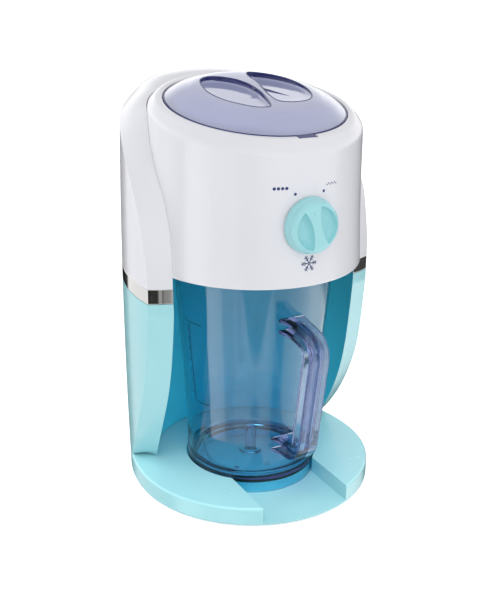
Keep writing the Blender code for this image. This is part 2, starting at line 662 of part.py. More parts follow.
def gear_train(nylon, steel):
    """Motor pinion, two double idlers and the main gear on the drive shaft, all in mesh."""
    main = add_object("main_gear", gear_wheel("main"), nylon)
    combine(main, "bore", turned(((190.0, SHAFT_RADIUS + GAP), (215.0, SHAFT_RADIUS + GAP)), segments=20))
    for name, lower, upper in (("idler_a", 0.0, 1.0), ("idler_b", 0.6, 0.0)):
        y = GEAR_AXES[name]
        wheel = add_object(f"{name}_gear", gear_wheel(f"{name}_large"), nylon, (0.0, y, 0.0))
        combine(wheel, "pinion", gear_wheel(f"{name}_small", lower, upper), "UNION")
        combine(wheel, "bore", turned(((190.0, 2.3), (215.0, 2.3)), (0.0, y), 12))
        add_object(f"{name}_pin", turned(((200.2, 2.0), (211.2, 2.0)), (0.0, y), 12), steel)
    y = GEAR_AXES["motor"]
    pinion = add_object("motor_pinion", gear_wheel("motor"), steel, (0.0, y, 0.0))
    return combine(pinion, "shaft", turned(((203.0, 1.6), (222.0, 1.6)), (0.0, y), 12), "UNION")


def drive_plate(steel):
    """The plate that carries the motor above it and the idler pins below it."""
    outline = [(-15.0, -11.0), (15.0, -11.0), (21.0, 20.0), (21.0, 97.0), (-21.0, 97.0), (-21.0, 20.0)]
    plate = add_object("drive_plate", prism(outline, 211.5, 213.5), steel)
    combine(plate, "shaft_bore", turned(((205.0, 7.9), (220.0, 7.9)), segments=20))
    motor_y = GEAR_AXES["motor"]
    combine(plate, "motor_bore", turned(((205.0, 4.0), (220.0, 4.0)), (0.0, motor_y), 16))
    for i, x in enumerate((-10.0, 10.0)):
        combine(plate, f"screw_hole_{i + 1}", turned(((205.0, 1.8), (220.0, 1.8)), (x, motor_y), 10))
        screw(f"motor_screw_{i + 1}", x, motor_y, 209.4, 4.1, steel, head=2.6)
    return plate


def motor(steel, plastic):
    y = GEAR_AXES["motor"]
    body = ((213.8, 15.2), (214.6, 16.0), (252.4, 16.0), (253.2, 15.2))
    can = add_object("motor_can", turned(body, (0.0, y), 32), steel)
    combine(can, "shaft_bore", turned(((210.0, 2.0), (226.0, 2.0)), (0.0, y), 12))
    cap = ((253.5, 15.2), (257.5, 14.6), (258.0, 5.0), (261.0, 4.6))
    add_object("motor_end_cap", turned(cap, (0.0, y), 32), plastic)


def jug(clear):
    """One clear moulding: skirt, wall, raised floor and the pivot post in the middle of the floor."""
    skirt = [(11.6, 40.0), (11.6, 46.8), (3.4, 48.2)]
    inner = list(JUG_IN) + [(14.2, 9.3), (15.0, 8.9), (15.2, 4.5), (33.4, 4.0), (35.1, 1.6)]
    shape = turned(skirt + list(JUG_OUT) + inner, segments=SEGMENTS)
    add_object("jug", shape, clear, sharp=30.0)


def i_beam(width, depth, flange, web):
    """Corners of an I: across the handle first, then from its inside to its outside."""
    w, d, t = width / 2, depth / 2, web / 2
    return [(-w, -d), (w, -d), (w, -d + flange), (t, -d + flange), (t, d - flange), (w, d - flange),
            (w, d), (-w, d), (-w, d - flange), (-t, d - flange), (-t, -d + flange), (-w, -d + flange)]


def jug_handle(clear):
    corners = i_beam(HANDLE_WIDTH, HANDLE_DEPTH, HANDLE_FLANGE, HANDLE_WEB)
    rings = []
    last = len(HANDLE_PATH) - 1
    for i, (y, z) in enumerate(HANDLE_PATH):
        ya, za = HANDLE_PATH[max(0, i - 1)]
        yb, zb = HANDLE_PATH[min(last, i + 1)]
        along = math.atan2(zb - za, yb - ya)
        if i in (0, last):
            along = math.pi if i == 0 else 0.0
        ny, nz = math.sin(along), -math.cos(along)
        rings.append([(x, y + ny * d, z + nz * d) for x, d in corners])
    add_object("jug_handle", loft(rings), clear, sharp=30.0)


def power_switch(plastic, dark):
    """A rocker in a bezel, low on the back."""
    bezel = add_object("switch_bezel", box((-10.0, 109.0, 53.0), (10.0, 120.4, 73.0)), dark)
    combine(bezel, "lip", box((-12.0, 119.6, 51.0), (12.0, 121.2, 75.0)), "UNION")
    combine(bezel, "pocket", box((-7.4, 112.0, 55.6), (7.4, 126.0, 70.4)))
    side = [(114.0, 61.0), (119.4, 57.0), (122.6, 56.6), (121.4, 63.0), (122.0, 69.4), (119.4, 69.0),
            (114.0, 65.0)]
    rocker = loft([[(x, y, z) for y, z in side] for x in (-7.0, 7.0)])
    add_object("power_rocker", rocker, plastic, (0.0, 117.0, 63.0))


def cord_exit(rubber):
    """The strain relief behind the base and the start of the mains cord."""
    profile = [(110.6, 5.0), (112.0, 4.8), (112.0, 3.9), (114.0, 3.9), (114.0, 4.4), (117.0, 4.2),
               (117.0, 3.5), (119.0, 3.5), (119.0, 3.9), (122.0, 3.7)]
    points, faces = turned(profile, segments=12)
    shape = [(px + CORD_X, z, py + CORD_Z) for px, py, z in points], faces
    made = add_object("cord_strain_relief", shape, rubber)
    combine(made, "cord_bore", along_y(2.6, 100.0, 140.0, CORD_X, CORD_Z, 10))
    path = ((101.0, CORD_Z), (124.0, CORD_Z), (128.0, 7.8), (132.0, 5.6), (136.0, 3.6), (CORD_END, 2.4))
    cord = []
    for y, z in path:
        turn = [2 * math.pi * k / 10 for k in range(10)]
        cord.append([(CORD_X + 2.2 * math.cos(t), y, z + 2.2 * math.sin(t)) for t in turn])
    add_object("mains_cord", loft(cord), rubber)


def build():
    clear_scene()
    white = material("white_plastic", (0.86, 0.87, 0.90), 0.28)
    teal = material("teal_plastic", (0.35, 0.74, 0.80), 0.32)
    knob_teal = material("knob_teal", (0.40, 0.78, 0.80), 0.35)
    clear_blue = material("clear_blue", (0.30, 0.52, 0.72), 0.05, alpha=0.45)
    clear_violet = material("clear_violet", (0.45, 0.47, 0.66), 0.06, alpha=0.6)
    chrome = material("chrome", (0.80, 0.80, 0.81), 0.08, 1.0)
    steel = material("steel", (0.55, 0.56, 0.58), 0.30, 1.0)
    bright = material("stainless", (0.72, 0.73, 0.75), 0.22, 1.0)
    brass = material("brass", (0.72, 0.55, 0.25), 0.30, 1.0)
    nylon = material("nylon", (0.82, 0.80, 0.72), 0.45)
    rubber = material("rubber", (0.05, 0.05, 0.055), 0.80)
    dark = material("dark_plastic", (0.08, 0.08, 0.09), 0.40)

    base_tray(teal)
    base_cover(teal)
    feet(rubber)
    base_screws(steel)
    column(teal)
    chrome_band(chrome)
    hood(white)
    head_housing(white)
    head_floor(white)
    floor_screws(steel)
    ice_chute(white)
    hopper(white)
    shaving_plate(bright)
    plate_bush(brass)
    drive_plate(steel)
    gear_train(nylon, steel)
    motor(steel, dark)
    rotor(white, steel)
    blade_adjuster(nylon, steel, bright)
    knob(knob_teal, steel)
    interlock(dark, nylon)
    lid(clear_violet)
    jug(clear_blue)
    jug_handle(clear_blue)
    power_switch(knob_teal, dark)
    cord_exit(rubber)


build()
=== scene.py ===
import json
import math

import bmesh
import bpy
from mathutils import Matrix, Vector


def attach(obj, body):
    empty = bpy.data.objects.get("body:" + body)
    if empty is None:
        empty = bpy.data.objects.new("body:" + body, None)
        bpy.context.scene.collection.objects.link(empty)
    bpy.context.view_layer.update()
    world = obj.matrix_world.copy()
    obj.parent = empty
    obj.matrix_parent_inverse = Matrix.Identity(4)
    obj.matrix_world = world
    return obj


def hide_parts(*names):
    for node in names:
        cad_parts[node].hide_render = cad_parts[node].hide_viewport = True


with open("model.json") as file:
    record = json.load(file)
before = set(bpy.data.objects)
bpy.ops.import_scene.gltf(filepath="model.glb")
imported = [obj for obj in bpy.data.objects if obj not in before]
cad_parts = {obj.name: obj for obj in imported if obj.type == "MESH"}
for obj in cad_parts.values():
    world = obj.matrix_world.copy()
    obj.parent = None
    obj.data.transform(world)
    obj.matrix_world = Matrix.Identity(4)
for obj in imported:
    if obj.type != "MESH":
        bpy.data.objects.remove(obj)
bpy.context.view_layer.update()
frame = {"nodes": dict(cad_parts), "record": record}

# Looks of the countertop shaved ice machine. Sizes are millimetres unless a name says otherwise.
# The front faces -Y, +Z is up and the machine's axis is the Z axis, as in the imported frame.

MM = 0.001
MIDDLE_Y = 21.0  # shapes are drawn about the jug's axis, which stands this far in front of the frame's origin

# ---------------------------------------------------------------- materials

LID_TILT = math.radians(10.42)  # how far the lid leans to the front


def feed(tree, socket, value):
    """Links a socket to another node's output, or sets it to a plain value."""
    if isinstance(value, bpy.types.NodeSocket):
        tree.links.new(value, socket)
    else:
        socket.default_value = value


def add_node(tree, kind, inputs=None, **settings):
    """A new shader node with its settings, and its inputs by name or by place in the list."""
    made = tree.nodes.new("ShaderNode" + kind)
    for key, value in settings.items():
        setattr(made, key, value)
    for key, value in (inputs or {}).items():
        feed(tree, made.inputs[key], value)
    return made


def blend(tree, factor, a, b):
    """A colour that goes from a to b."""
    made = add_node(tree, "Mix", data_type="RGBA")
    for socket, value in zip((made.inputs["Factor"], made.inputs[6], made.inputs[7]), (factor, a, b)):
        feed(tree, socket, value)
    return made.outputs[2]


class Paint:
    """One procedural material, built node by node around a Principled shader."""

    def __init__(self, name, colour, roughness, **inputs):
        self.made = bpy.data.materials.new("look_" + name)
        self.made.use_nodes = True
        self.made.diffuse_color = (*colour, 1.0)
        self.tree = self.made.node_tree
        self.shader = self.tree.nodes["Principled BSDF"]
        self.output = self.tree.nodes["Material Output"]
        self.shader.inputs["Base Color"].default_value = (*colour, 1.0)
        self.shader.inputs["Roughness"].default_value = roughness
        for key, value in inputs.items():
            self.shader.inputs[key.replace("_", " ")].default_value = value
        self.place = self.tree.nodes.new("ShaderNodeTexCoord").outputs["Object"]

    def node(self, kind, inputs=None, **settings):
        return add_node(self.tree, kind, inputs, **settings)

    def noise(self, scale, detail=3.0, stretch=None):
        place = self.place
        if stretch:
            place = self.node("Mapping", {"Vector": place, "Scale": stretch}).outputs["Vector"]
        made = self.node("TexNoise", {"Vector": place, "Scale": scale, "Detail": detail})
        return made.outputs["Fac"]

    def ramp(self, factor, low, high, to_low=0.0, to_high=1.0):
        made = self.node("MapRange", {"Value": factor, "From Min": low, "From Max": high,
                                      "To Min": to_low, "To Max": to_high})
        return made.outputs["Result"]

    def mix(self, factor, a, b):
        return blend(self.tree, factor, a, b)

    def sum(self, a, b):
        return self.node("Math", {0: a, 1: b}, operation="ADD").outputs[0]

    def product(self, a, b):
        return self.node("Math", {0: a, 1: b}, operation="MULTIPLY").outputs[0]

    def set(self, name, value):
        self.tree.links.new(value, self.shader.inputs[name])

    def bump(self, height, strength, distance):
        made = self.node("Bump", {"Height": height, "Strength": strength, "Distance": distance})
        self.set("Normal", made.outputs["Normal"])

    def facing_jug(self):
        """1 on upright walls that face the jug's axis, 0 elsewhere: where moulded() paints its bounce light.
        """
        spot = self.node("SeparateXYZ", {"Vector": self.place})
        out = self.node("CombineXYZ", {"X": spot.outputs["X"],
                                       "Y": self.sum(spot.outputs["Y"], MIDDLE_Y * MM)})
        away = self.node("VectorMath", {0: out.outputs[0]}, operation="NORMALIZE")
        facing = self.node("VectorMath", {0: away.outputs[0], 1: self.node("NewGeometry").outputs["Normal"]},
                           operation="DOT_PRODUCT")
        return self.ramp(facing.outputs["Value"], -0.55, -0.9)


def shade(colour, factor):
    return (*[min(1.0, c * factor) for c in colour], 1.0)


def moulded(name, colour, roughness, grain=0.05, wear=0.08, inside=None, **inputs):
    """Moulded plastic: faint flow mottling, a fine skin, hairline scuffs and a slightly uneven gloss.

    inside is painted bounce light: a deeper colour painted on the walls that face the jug, for the light that
    bounces from wall to wall there.
    """
    paint = Paint(name, colour, roughness, **inputs)
    flow = paint.noise(14.0, 4.0)
    tint = paint.mix(paint.ramp(flow, 0.3, 0.7), shade(colour, 0.985), shade(colour, 1.015))
    if inside:
        # Painted bounce light: the walls that face the jug get a deeper colour, for the light bouncing
        # between them.
        tint = paint.mix(paint.facing_jug(), tint, (*inside, 1.0))
    scuffs = paint.ramp(paint.noise(60.0, 5.0, (1.0, 5.0, 0.4)), 0.68, 0.78)
    paint.set("Base Color", paint.mix(paint.product(scuffs, 0.05), tint, shade(colour, 1.06)))
    uneven = paint.ramp(paint.noise(90.0, 3.0), 0.3, 0.7, roughness - wear / 2, roughness + wear / 2)
    paint.set("Roughness", paint.sum(uneven, paint.product(scuffs, wear)))
    paint.bump(paint.noise(1500.0, 2.0), grain, 0.0002)
    return paint.made


def clear(name, tint, absorb, density, roughness=0.015, ior=1.46, steep=None, body=0.0, coat=0.0):
    """Clear moulded plastic: the colour comes from its thickness, with faint flow waves and hairline marks.

    body is how much of it scatters light like milk glass, and steep is painted shade: a deeper colour
    painted on the faces that stand across a lid's dome, for the light trapped there.
    """
    paint = Paint(name, tint, roughness, Transmission_Weight=1.0 - body, IOR=ior, Coat_Weight=coat,
                  Coat_Roughness=0.03)
    marks = paint.ramp(paint.noise(70.0, 5.0, (3.0, 3.0, 0.35)), 0.66, 0.76, 0.0, 0.08)
    uneven = paint.ramp(paint.noise(40.0), 0.35, 0.65, roughness * 0.5, roughness * 1.5)
    paint.set("Roughness", paint.sum(uneven, marks))
    tone = paint.mix(paint.ramp(paint.noise(9.0), 0.3, 0.7), shade(tint, 0.97), shade(tint, 1.03))
    # Painted shade: faces that stand steep across the lid's dome get a deeper colour.
    if steep:
        lean = (0.0, -math.sin(LID_TILT), math.cos(LID_TILT))
        rise = paint.node("VectorMath", {0: paint.node("NewGeometry").outputs["Normal"], 1: lean},
                          operation="DOT_PRODUCT")
        level = paint.node("Math", {0: rise.outputs["Value"]}, operation="ABSOLUTE").outputs[0]
        tone = paint.mix(paint.ramp(level, 0.72, 0.35), tone, (*steep, 1.0))
    paint.set("Base Color", tone)
    paint.bump(paint.noise(26.0, 2.0), 0.04, 0.0006)
    inside = paint.node("VolumeAbsorption", {"Color": (*absorb, 1.0), "Density": density})
    paint.tree.links.new(inside.outputs["Volume"], paint.output.inputs["Volume"])
    # Light reaches what stands behind the plastic: shadow rays pass through it, tinted.
    through_it = paint.node("BsdfTransparent", {"Color": (*tint, 1.0)})
    either = paint.node("MixShader", {0: paint.node("LightPath").outputs["Is Shadow Ray"],
                                      1: paint.shader.outputs[0], 2: through_it.outputs[0]})
    paint.tree.links.new(either.outputs[0], paint.output.inputs["Surface"])
    return paint.made


def metal(name, colour, roughness, brushed=None, grain=0.05):
    """Metal with a polish that varies, and brushing lines where it has them."""
    paint = Paint(name, colour, roughness, Metallic=1.0)
    lines = paint.noise(400.0, 4.0, brushed) if brushed else paint.noise(120.0, 4.0)
    paint.set("Roughness", paint.ramp(lines, 0.3, 0.7, roughness * 0.7, roughness * 1.4))
    paint.set("Base Color", paint.mix(paint.noise(30.0), shade(colour, 0.93), shade(colour, 1.05)))
    paint.bump(lines, grain, 0.0001)
    return paint.made


WHITE = moulded("white_plastic", (0.775, 0.778, 0.825), 0.20, 0.03, 0.05, Coat_Weight=0.25,
                Coat_Roughness=0.08)
# The teal's inside colour is painted bounce light on the walls round the jug.
TEAL = moulded("teal_plastic", (0.375, 0.715, 0.765), 0.24, 0.04, 0.06, inside=(0.10, 0.76, 0.92),
               Coat_Weight=0.20, Coat_Roughness=0.10)
KNOB_TEAL = moulded("knob_plastic", (0.35, 0.70, 0.74), 0.33, 0.08, 0.08)
CLEAR_BLUE = clear("clear_blue", (0.82, 0.935, 0.975), (0.10, 0.62, 0.82), 100.0, ior=1.57)
# Painted light: a bright teal sheet for inside the jug's skirt, standing in for the light that comes through
# it.
SKIRT_PAINTED_LIGHT = moulded("skirt_painted_light", (0.10, 0.60, 0.76), 0.5, Coat_Weight=0.1)
CLEAR_HANDLE = clear("clear_handle", (0.91, 0.93, 1.0), (0.14, 0.28, 0.70), 95.0, ior=1.5)
# The lid's steep colour is painted shade on the faces across its dome.
CLEAR_VIOLET = clear("clear_violet", (0.56, 0.59, 0.80), (0.16, 0.20, 0.52), 16.0, 0.10, 1.5,
                     steep=(0.028, 0.034, 0.17), body=0.68, coat=0.7)
# Navy is for real navy parts, and for the dark lines of painted shade in the clear lid and jug.
NAVY_AND_PAINTED_SHADE = moulded("navy_plastic_and_painted_shade", (0.035, 0.045, 0.16), 0.22, 0.03, 0.05)
CHROME = metal("chrome", (0.93, 0.92, 0.90), 0.07)
STEEL = metal("zinc_steel", (0.55, 0.56, 0.58), 0.30)
STAINLESS = metal("stainless", (0.72, 0.73, 0.75), 0.22, (1.0, 30.0, 1.0))
BRASS = metal("bronze", (0.72, 0.55, 0.25), 0.32)
NYLON = moulded("nylon", (0.82, 0.80, 0.72), 0.45, 0.2)
RUBBER = moulded("rubber", (0.035, 0.035, 0.038), 0.70, 0.4)
DARK = moulded("dark_plastic", (0.05, 0.05, 0.055), 0.38, 0.2)
PRINT = moulded("printed_ink", (0.030, 0.045, 0.16), 0.42, 0.05)
JUG_PRINT = moulded("jug_ink", (0.01, 0.04, 0.09), 0.42, 0.05)

SLOT_LOOKS = {"white": WHITE, "teal": TEAL, "knob_teal": KNOB_TEAL, "clear_blue": CLEAR_BLUE,
              "clear_violet": CLEAR_VIOLET, "chrome_trim": CHROME, "steel": STEEL, "stainless": STAINLESS,
              "brass": BRASS, "nylon": NYLON, "rubber": RUBBER, "dark_plastic": DARK}
NODE_SLOT = {row["node"]: row["material_slot"] for row in frame["record"]["subparts"]}


def dress_cad():
    """Gives each CAD node its finish, welded smooth faces and softened edges."""
    for name, obj in frame["nodes"].items():
        obj.data.materials.clear()
        obj.data.materials.append(SLOT_LOOKS[NODE_SLOT[name]])
        for face in obj.data.polygons:
            face.use_smooth = True
            face.material_index = 0
        weld = obj.modifiers.new("weld", "WELD")
        weld.merge_threshold = 0.00001
        edge = obj.modifiers.new("soft_edges", "BEVEL")
        edge.width, edge.segments, edge.limit_method = 0.00025, 2, "ANGLE"
        edge.angle_limit = math.radians(38.0)
        edge.use_clamp_overlap = True
        edge.harden_normals = False
        obj.modifiers.new("normals", "WEIGHTED_NORMAL").keep_sharp = True


dress_cad()

# ---------------------------------------------------------------- shapes: each gives (points, faces)

ROUND = 160  # segments round a full-size shell


def circle(radius, z, centre=(0.0, 0.0), segments=ROUND):
    turn = [2 * math.pi * i / segments for i in range(segments)]
    return [(centre[0] + radius * math.cos(t), centre[1] + radius * math.sin(t), z) for t in turn]


def loft(rings, closed=False):
    """Equal rings joined in order: closed joins the last to the first, otherwise both are capped."""
    count = len(rings[0])
    faces = []
    for i in range(len(rings) if closed else len(rings) - 1):
        a, b = i * count, (i + 1) % len(rings) * count
        faces += [(a + j, a + (j + 1) % count, b + (j + 1) % count, b + j) for j in range(count)]
    points = [p for ring in rings for p in ring]
    if not closed:
        faces += [tuple(range(count)), tuple(range(len(points) - count, len(points)))]
    return points, faces


def turned(profile, centre=(0.0, 0.0), segments=ROUND, closed=False):
    """A profile of (height, radius) turned about a vertical line."""
    return loft([circle(r, z, centre, segments) for z, r in profile], closed)


def prism(outline, low, high):
    return loft([[(x, y, z) for x, y in outline] for z in (low, high)])


def soften(line, radius=0.8, steps=4, closed=False):
    """The line with each corner rounded off; radius is how far the rounding reaches along the sides."""
    made = []
    last = len(line) - 1
    for i, p in enumerate(line):
        if not closed and i in (0, last):
            made.append(p)
            continue
        before, after = line[i - 1], line[(i + 1) % len(line)]
        ends = []
        for other in (before, after):
            span = math.dist(p, other)
            share = min(radius, 0.45 * span) / span
            ends.append([a + (b - a) * share for a, b in zip(p, other)])
        for k in range(steps + 1):
            t = k / steps
            made.append(tuple((1 - t) ** 2 * a + 2 * t * (1 - t) * b + t * t * c
                              for a, b, c in zip(ends[0], p, ends[1])))
    return made


def through(line, per=6):
    """A smooth curve through the points, with this many steps between neighbours."""
    count, made = len(line), []
    for i in range(count - 1):
        four = [line[min(max(i + k, 0), count - 1)] for k in (-1, 0, 1, 2)]
        for step in range(per):
            t = step / per
            weights = (-0.5 * t + t * t - 0.5 * t ** 3, 1 - 2.5 * t * t + 1.5 * t ** 3,
                       0.5 * t + 2 * t * t - 1.5 * t ** 3, -0.5 * t * t + 0.5 * t ** 3)
            made.append(tuple(sum(w * p[axis] for w, p in zip(weights, four))
                              for axis in range(len(line[0]))))
    return made + [line[-1]]


def eased(table, x):
    """Smooth reading of a table of (x, value) that never overshoots."""
    if x <= table[0][0] or x >= table[-1][0]:
        return table[0][1] if x <= table[0][0] else table[-1][1]
    i = max(k for k in range(len(table) - 1) if table[k][0] <= x)
    slopes = [(b[1] - a[1]) / (b[0] - a[0]) for a, b in zip(table, table[1:])]

    def slope(k):
        if k in (0, len(table) - 1):
            return slopes[0 if k == 0 else -1]
        a, b = slopes[k - 1], slopes[k]
        return 0.0 if a * b <= 0 else 2 * a * b / (a + b)

    step = table[i + 1][0] - table[i][0]
    t = (x - table[i][0]) / step
    return ((1 + 2 * t) * (1 - t) ** 2 * table[i][1] + t * (1 - t) ** 2 * step * slope(i)
            + t * t * (3 - 2 * t) * table[i + 1][1] + t * t * (t - 1) * step * slope(i + 1))


def object_of(name, shape, finish=None, sharp=35.0):
    """A Blender object from a shape in millimetres; edges steeper than sharp degrees stay crisp."""
    points, faces = shape
    mesh = bpy.data.meshes.new(name)
    mesh.from_pydata([(x * MM, (y - MIDDLE_Y) * MM, z * MM) for x, y, z in points], [], faces)
    work = bmesh.new()
    work.from_mesh(mesh)
    bmesh.ops.recalc_face_normals(work, faces=work.faces)
    work.to_mesh(mesh)
    work.free()
    mesh.shade_smooth()
    mesh.set_sharp_from_angle(angle=math.radians(sharp))
    if finish:
        mesh.materials.append(finish)
    obj = bpy.data.objects.new(name, mesh)
    bpy.context.scene.collection.objects.link(obj)
    return obj


def hollow_out(target, name, helper):
    """Cuts one object from another, and hides the cutter."""
    helper.hide_render = helper.hide_viewport = True
    cut = target.modifiers.new(name, "BOOLEAN")
    cut.operation, cut.solver, cut.object = "DIFFERENCE", "EXACT", helper
    return target


def cut_away(target, name, shape):
    """Cuts a shape from an object."""
    return hollow_out(target, name, object_of(f"{target.name}_{name}", shape))


def round_edges(obj, width, angle=38.0, segments=3):
    edge = obj.modifiers.new("round_edges", "BEVEL")
    edge.width, edge.segments, edge.limit_method = width * MM, segments, "ANGLE"
    edge.angle_limit = math.radians(angle)
    return obj


def settle(obj, sharp=35.0):
    """Bakes the modifiers into the mesh, so that later pieces can be laid on it, and smooths its faces."""
    graph = bpy.context.evaluated_depsgraph_get()
    baked = bpy.data.meshes.new_from_object(obj.evaluated_get(graph))
    obj.modifiers.clear()
    obj.data = baked
    work = bmesh.new()
    work.from_mesh(baked)
    bmesh.ops.remove_doubles(work, verts=work.verts, dist=2e-6)
    bmesh.ops.dissolve_degenerate(work, edges=work.edges, dist=2e-6)
    work.to_mesh(baked)
    work.free()
    baked.shade_smooth()
    baked.set_sharp_from_angle(angle=math.radians(sharp))
    obj.modifiers.new("normals", "WEIGHTED_NORMAL").keep_sharp = True
    return obj


def stands_for(obj, body, slot, *nodes):
    """Hangs a piece on its body and hides the CAD nodes that it is shown in place of; the slot is not used.
    """
    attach(obj, body)
    if nodes:
        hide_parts(*nodes)
    return obj


# ---------------------------------------------------------------- crescent wall: column, band and hood

BASE_RADIUS, BASE_BACK = 95.0, 113.0
BULGE_SIDE, BULGE_BACK, BULGE_Z, BULGE_HALF = 1.3, 9.0, 165.0, 160.0
ARM_IN, ARM_OUT = -16.6, -9.6  # degrees, front edges of the arms
BAND_LOW, BAND_HIGH, WALL, GAP = 162.0, 173.0, 2.4, 0.3
HEAD_RADIUS = ((181.6, 81.6), (226.0, 79.8), (262.0, 79.2), (320.0, 79.0))
# Front edge of the arms and legs, in base radii: y of the edge, height of the edge.
HOOD_TOP_IN = ((-0.25, 1.86), (-0.246, 1.95), (-0.236, 2.08), (-0.195, 2.29), (-0.125, 2.49),
               (-0.03, 2.63), (0.06, 2.75), (0.16, 2.89), (0.25, 3.04), (0.33, 3.11), (0.5, 3.155),
               (0.88, 3.225))
HOOD_TOP_OUT = ((-0.167, 1.86), (-0.161, 1.975), (-0.128, 2.13), (-0.071, 2.35), (0.048, 2.545),
                (0.12, 2.65), (0.25, 2.76), (0.37, 2.86), (0.5, 2.95), (0.66, 3.02), (0.81, 3.06),
                (0.98, 3.12), (1.09, 3.185), (1.17, 3.225), (1.24, 3.245))
LEG_LOW_IN = ((-0.25, 1.62), (-0.24, 1.5), (-0.228, 1.39), (-0.185, 1.09), (-0.105, 0.8),
              (0.03, 0.5), (0.15, 0.3), (0.25, 0.1695))
LEG_LOW_OUT = ((-0.167, 1.62), (-0.136, 1.34), (-0.087, 1.03), (0.0, 0.77), (0.137, 0.49),
               (0.3, 0.25), (0.37, 0.1695))
SHARES = [i / 8 for i in range(9)]  # across the wall
LEVELS = [i / 25 for i in range(1, 25)]  # up the wall
STEPS = [ARM_IN, -16.2] + [-15.6 + 1.2 * i for i in range(89)]  # degrees round the inside, to the back
CAVITY_STEPS = [-9.9, -3.3, 2.0, 8.0, 15.0] + [20.0 + 5.0 * i for i in range(15)]
INNER_EDGE = 0.874  # radius of the wall's inside, in base radii
LEG_RADIUS = (77.2, 81.2)  # of the legs' inside, at the bottom and at the band
LEG_FOOT = 16.1  # height at which the legs meet the base


def half_width(z):
    """Half the body's width at a height: widest near BULGE_Z."""
    return BASE_RADIUS + BULGE_SIDE * (1 - ((z - BULGE_Z) / BULGE_HALF) ** 2)


def half_depth(z):
    return BASE_BACK + BULGE_BACK * (1 - ((z - BULGE_Z) / BULGE_HALF) ** 2)


def body_point(angle, z, inset=0.0):
    """A point on the body's outline: a half circle in front and a half ellipse behind."""
    reach = half_width(z) if angle < 0 or angle > math.pi else half_depth(z)
    return (half_width(z) - inset) * math.cos(angle), (reach - inset) * math.sin(angle)


def wall_angles(step):
    """The angles on the wall's inside and outside at one step from the arm's front edge to the back."""
    inner = math.radians(step)
    share = (math.pi / 2 - inner) / (math.pi / 2 - math.radians(ARM_IN))
    return inner, math.pi / 2 - share * (math.pi / 2 - math.radians(ARM_OUT))


def wall_section(angles, low, high, radius_in, bulge=(0.0, 0.0), ridge=0.0, inset=0.0):
    """One ring of the wall: along the bottom, up the outside, along the top, down the inside."""

    def point(share, z, lift=0.0):
        radius = radius_in(z) + inset
        ix, iy = radius * math.cos(angles[0]), radius * math.sin(angles[0])
        ox, oy = body_point(angles[1], z, inset)
        push = ridge * (1 - abs(2 * share - 1))
        return ix + (ox - ix) * share, iy + (oy - iy) * share - push, z + lift * 4 * share * (1 - share)

    ring = [point(s, low[0] + (low[1] - low[0]) * s, -bulge[0]) for s in SHARES]
    ring += [point(1.0, low[1] + (high[1] - low[1]) * k) for k in LEVELS]
    ring += [point(s, high[0] + (high[1] - high[0]) * s, bulge[1]) for s in reversed(SHARES)]
    return ring + [point(0.0, high[0] + (low[0] - high[0]) * k) for k in LEVELS]


def front_face(ring, start, points, faces):
    """Fills the wall's front end with a grid, so that it keeps the ridge down its middle."""
    n, m = len(SHARES), len(LEVELS)
    low = [start + i for i in range(n)]
    outer = [start + n + i for i in range(m)]
    high = [start + n + m + n - 1 - i for i in range(n)]
    inner = [start + 2 * n + m + (m - 1 - i) for i in range(m)]
    rows = [low]
    corners = [Vector(points[i]) for i in (low[0], low[-1], high[0], high[-1])]
    for k, v in enumerate(LEVELS):
        row = [inner[k]]
        for j in range(1, n - 1):
            u = SHARES[j]
            across = Vector(points[low[j]]) * (1 - v) + Vector(points[high[j]]) * v
            along = Vector(points[inner[k]]) * (1 - u) + Vector(points[outer[k]]) * u
            flat = ((corners[0] * (1 - u) + corners[1] * u) * (1 - v)
                    + (corners[2] * (1 - u) + corners[3] * u) * v)
            row.append(len(points))
            points.append(tuple(across + along - flat))
        rows.append(row + [outer[k]])
    rows.append(high)
    for a, b in zip(rows, rows[1:]):
        faces += [(a[j], a[j + 1], b[j + 1], b[j]) for j in range(n - 1)]


def swept_wall(section_at, steps=STEPS):
    """The wall from the right arm's front, round the back, to the left arm's front."""
    right = [section_at(step, *wall_angles(step)) for step in steps]
    left = [[(-x, y, z) for x, y, z in ring] for ring in reversed(right[:-1])]
    points, faces = loft(right + left)
    del faces[-2:]
    last = len(points) - len(right[0])
    for start in (0, last):
        front_face(right[0], start, points, faces)
    return points, faces


def ridge_of(step, height=0.9):
    """How far the ridge down the arm's front end stands out."""
    return height if step <= ARM_IN else 0.0


def column_section(step, inner, outer, inset=0.0):
    back = inset * 1.3 / BASE_RADIUS
    y_in = INNER_EDGE * math.sin(inner) - back
    y_out = body_point(outer, 60.0)[1] / BASE_RADIUS - back
    low = [eased(LEG_LOW_IN, y_in) * BASE_RADIUS, eased(LEG_LOW_OUT, y_out) * BASE_RADIUS]
    high = BAND_LOW - GAP
    if inset:
        low = [10.1] * 2 if step > 30.0 else [z + 2.0 for z in low]
        high += 6.0
    bulge = 0.8 * max(0.0, min(1.0, (15.0 - step) / 7.0))

    def radius(z):
        return LEG_RADIUS[0] + (LEG_RADIUS[1] - LEG_RADIUS[0]) * (z - LEG_FOOT) / (BAND_LOW - LEG_FOOT)

    return wall_section((inner, outer), low, (high, high), radius, (bulge, 0.0), ridge_of(step), inset)


def hood_section(step, inner, outer, inset=0.0):
    back = inset * 1.4 / BASE_RADIUS
    y_out = body_point(outer, 270.0)[1] / BASE_RADIUS - back
    high = [eased(HOOD_TOP_IN, INNER_EDGE * math.sin(inner) - back) * BASE_RADIUS,
            eased(HOOD_TOP_OUT, y_out) * BASE_RADIUS]
    low = BAND_HIGH + GAP
    if inset:
        low -= 6.0
        high = [z - inset - 0.6 for z in high]
    bulge = 1.2 + 2.3 * max(0.0, min(1.0, step / 35.0))
    return wall_section((inner, outer), (low, low), high, lambda z: eased(HEAD_RADIUS, z) + 0.12,
                        (0.0, bulge), ridge_of(step), inset)


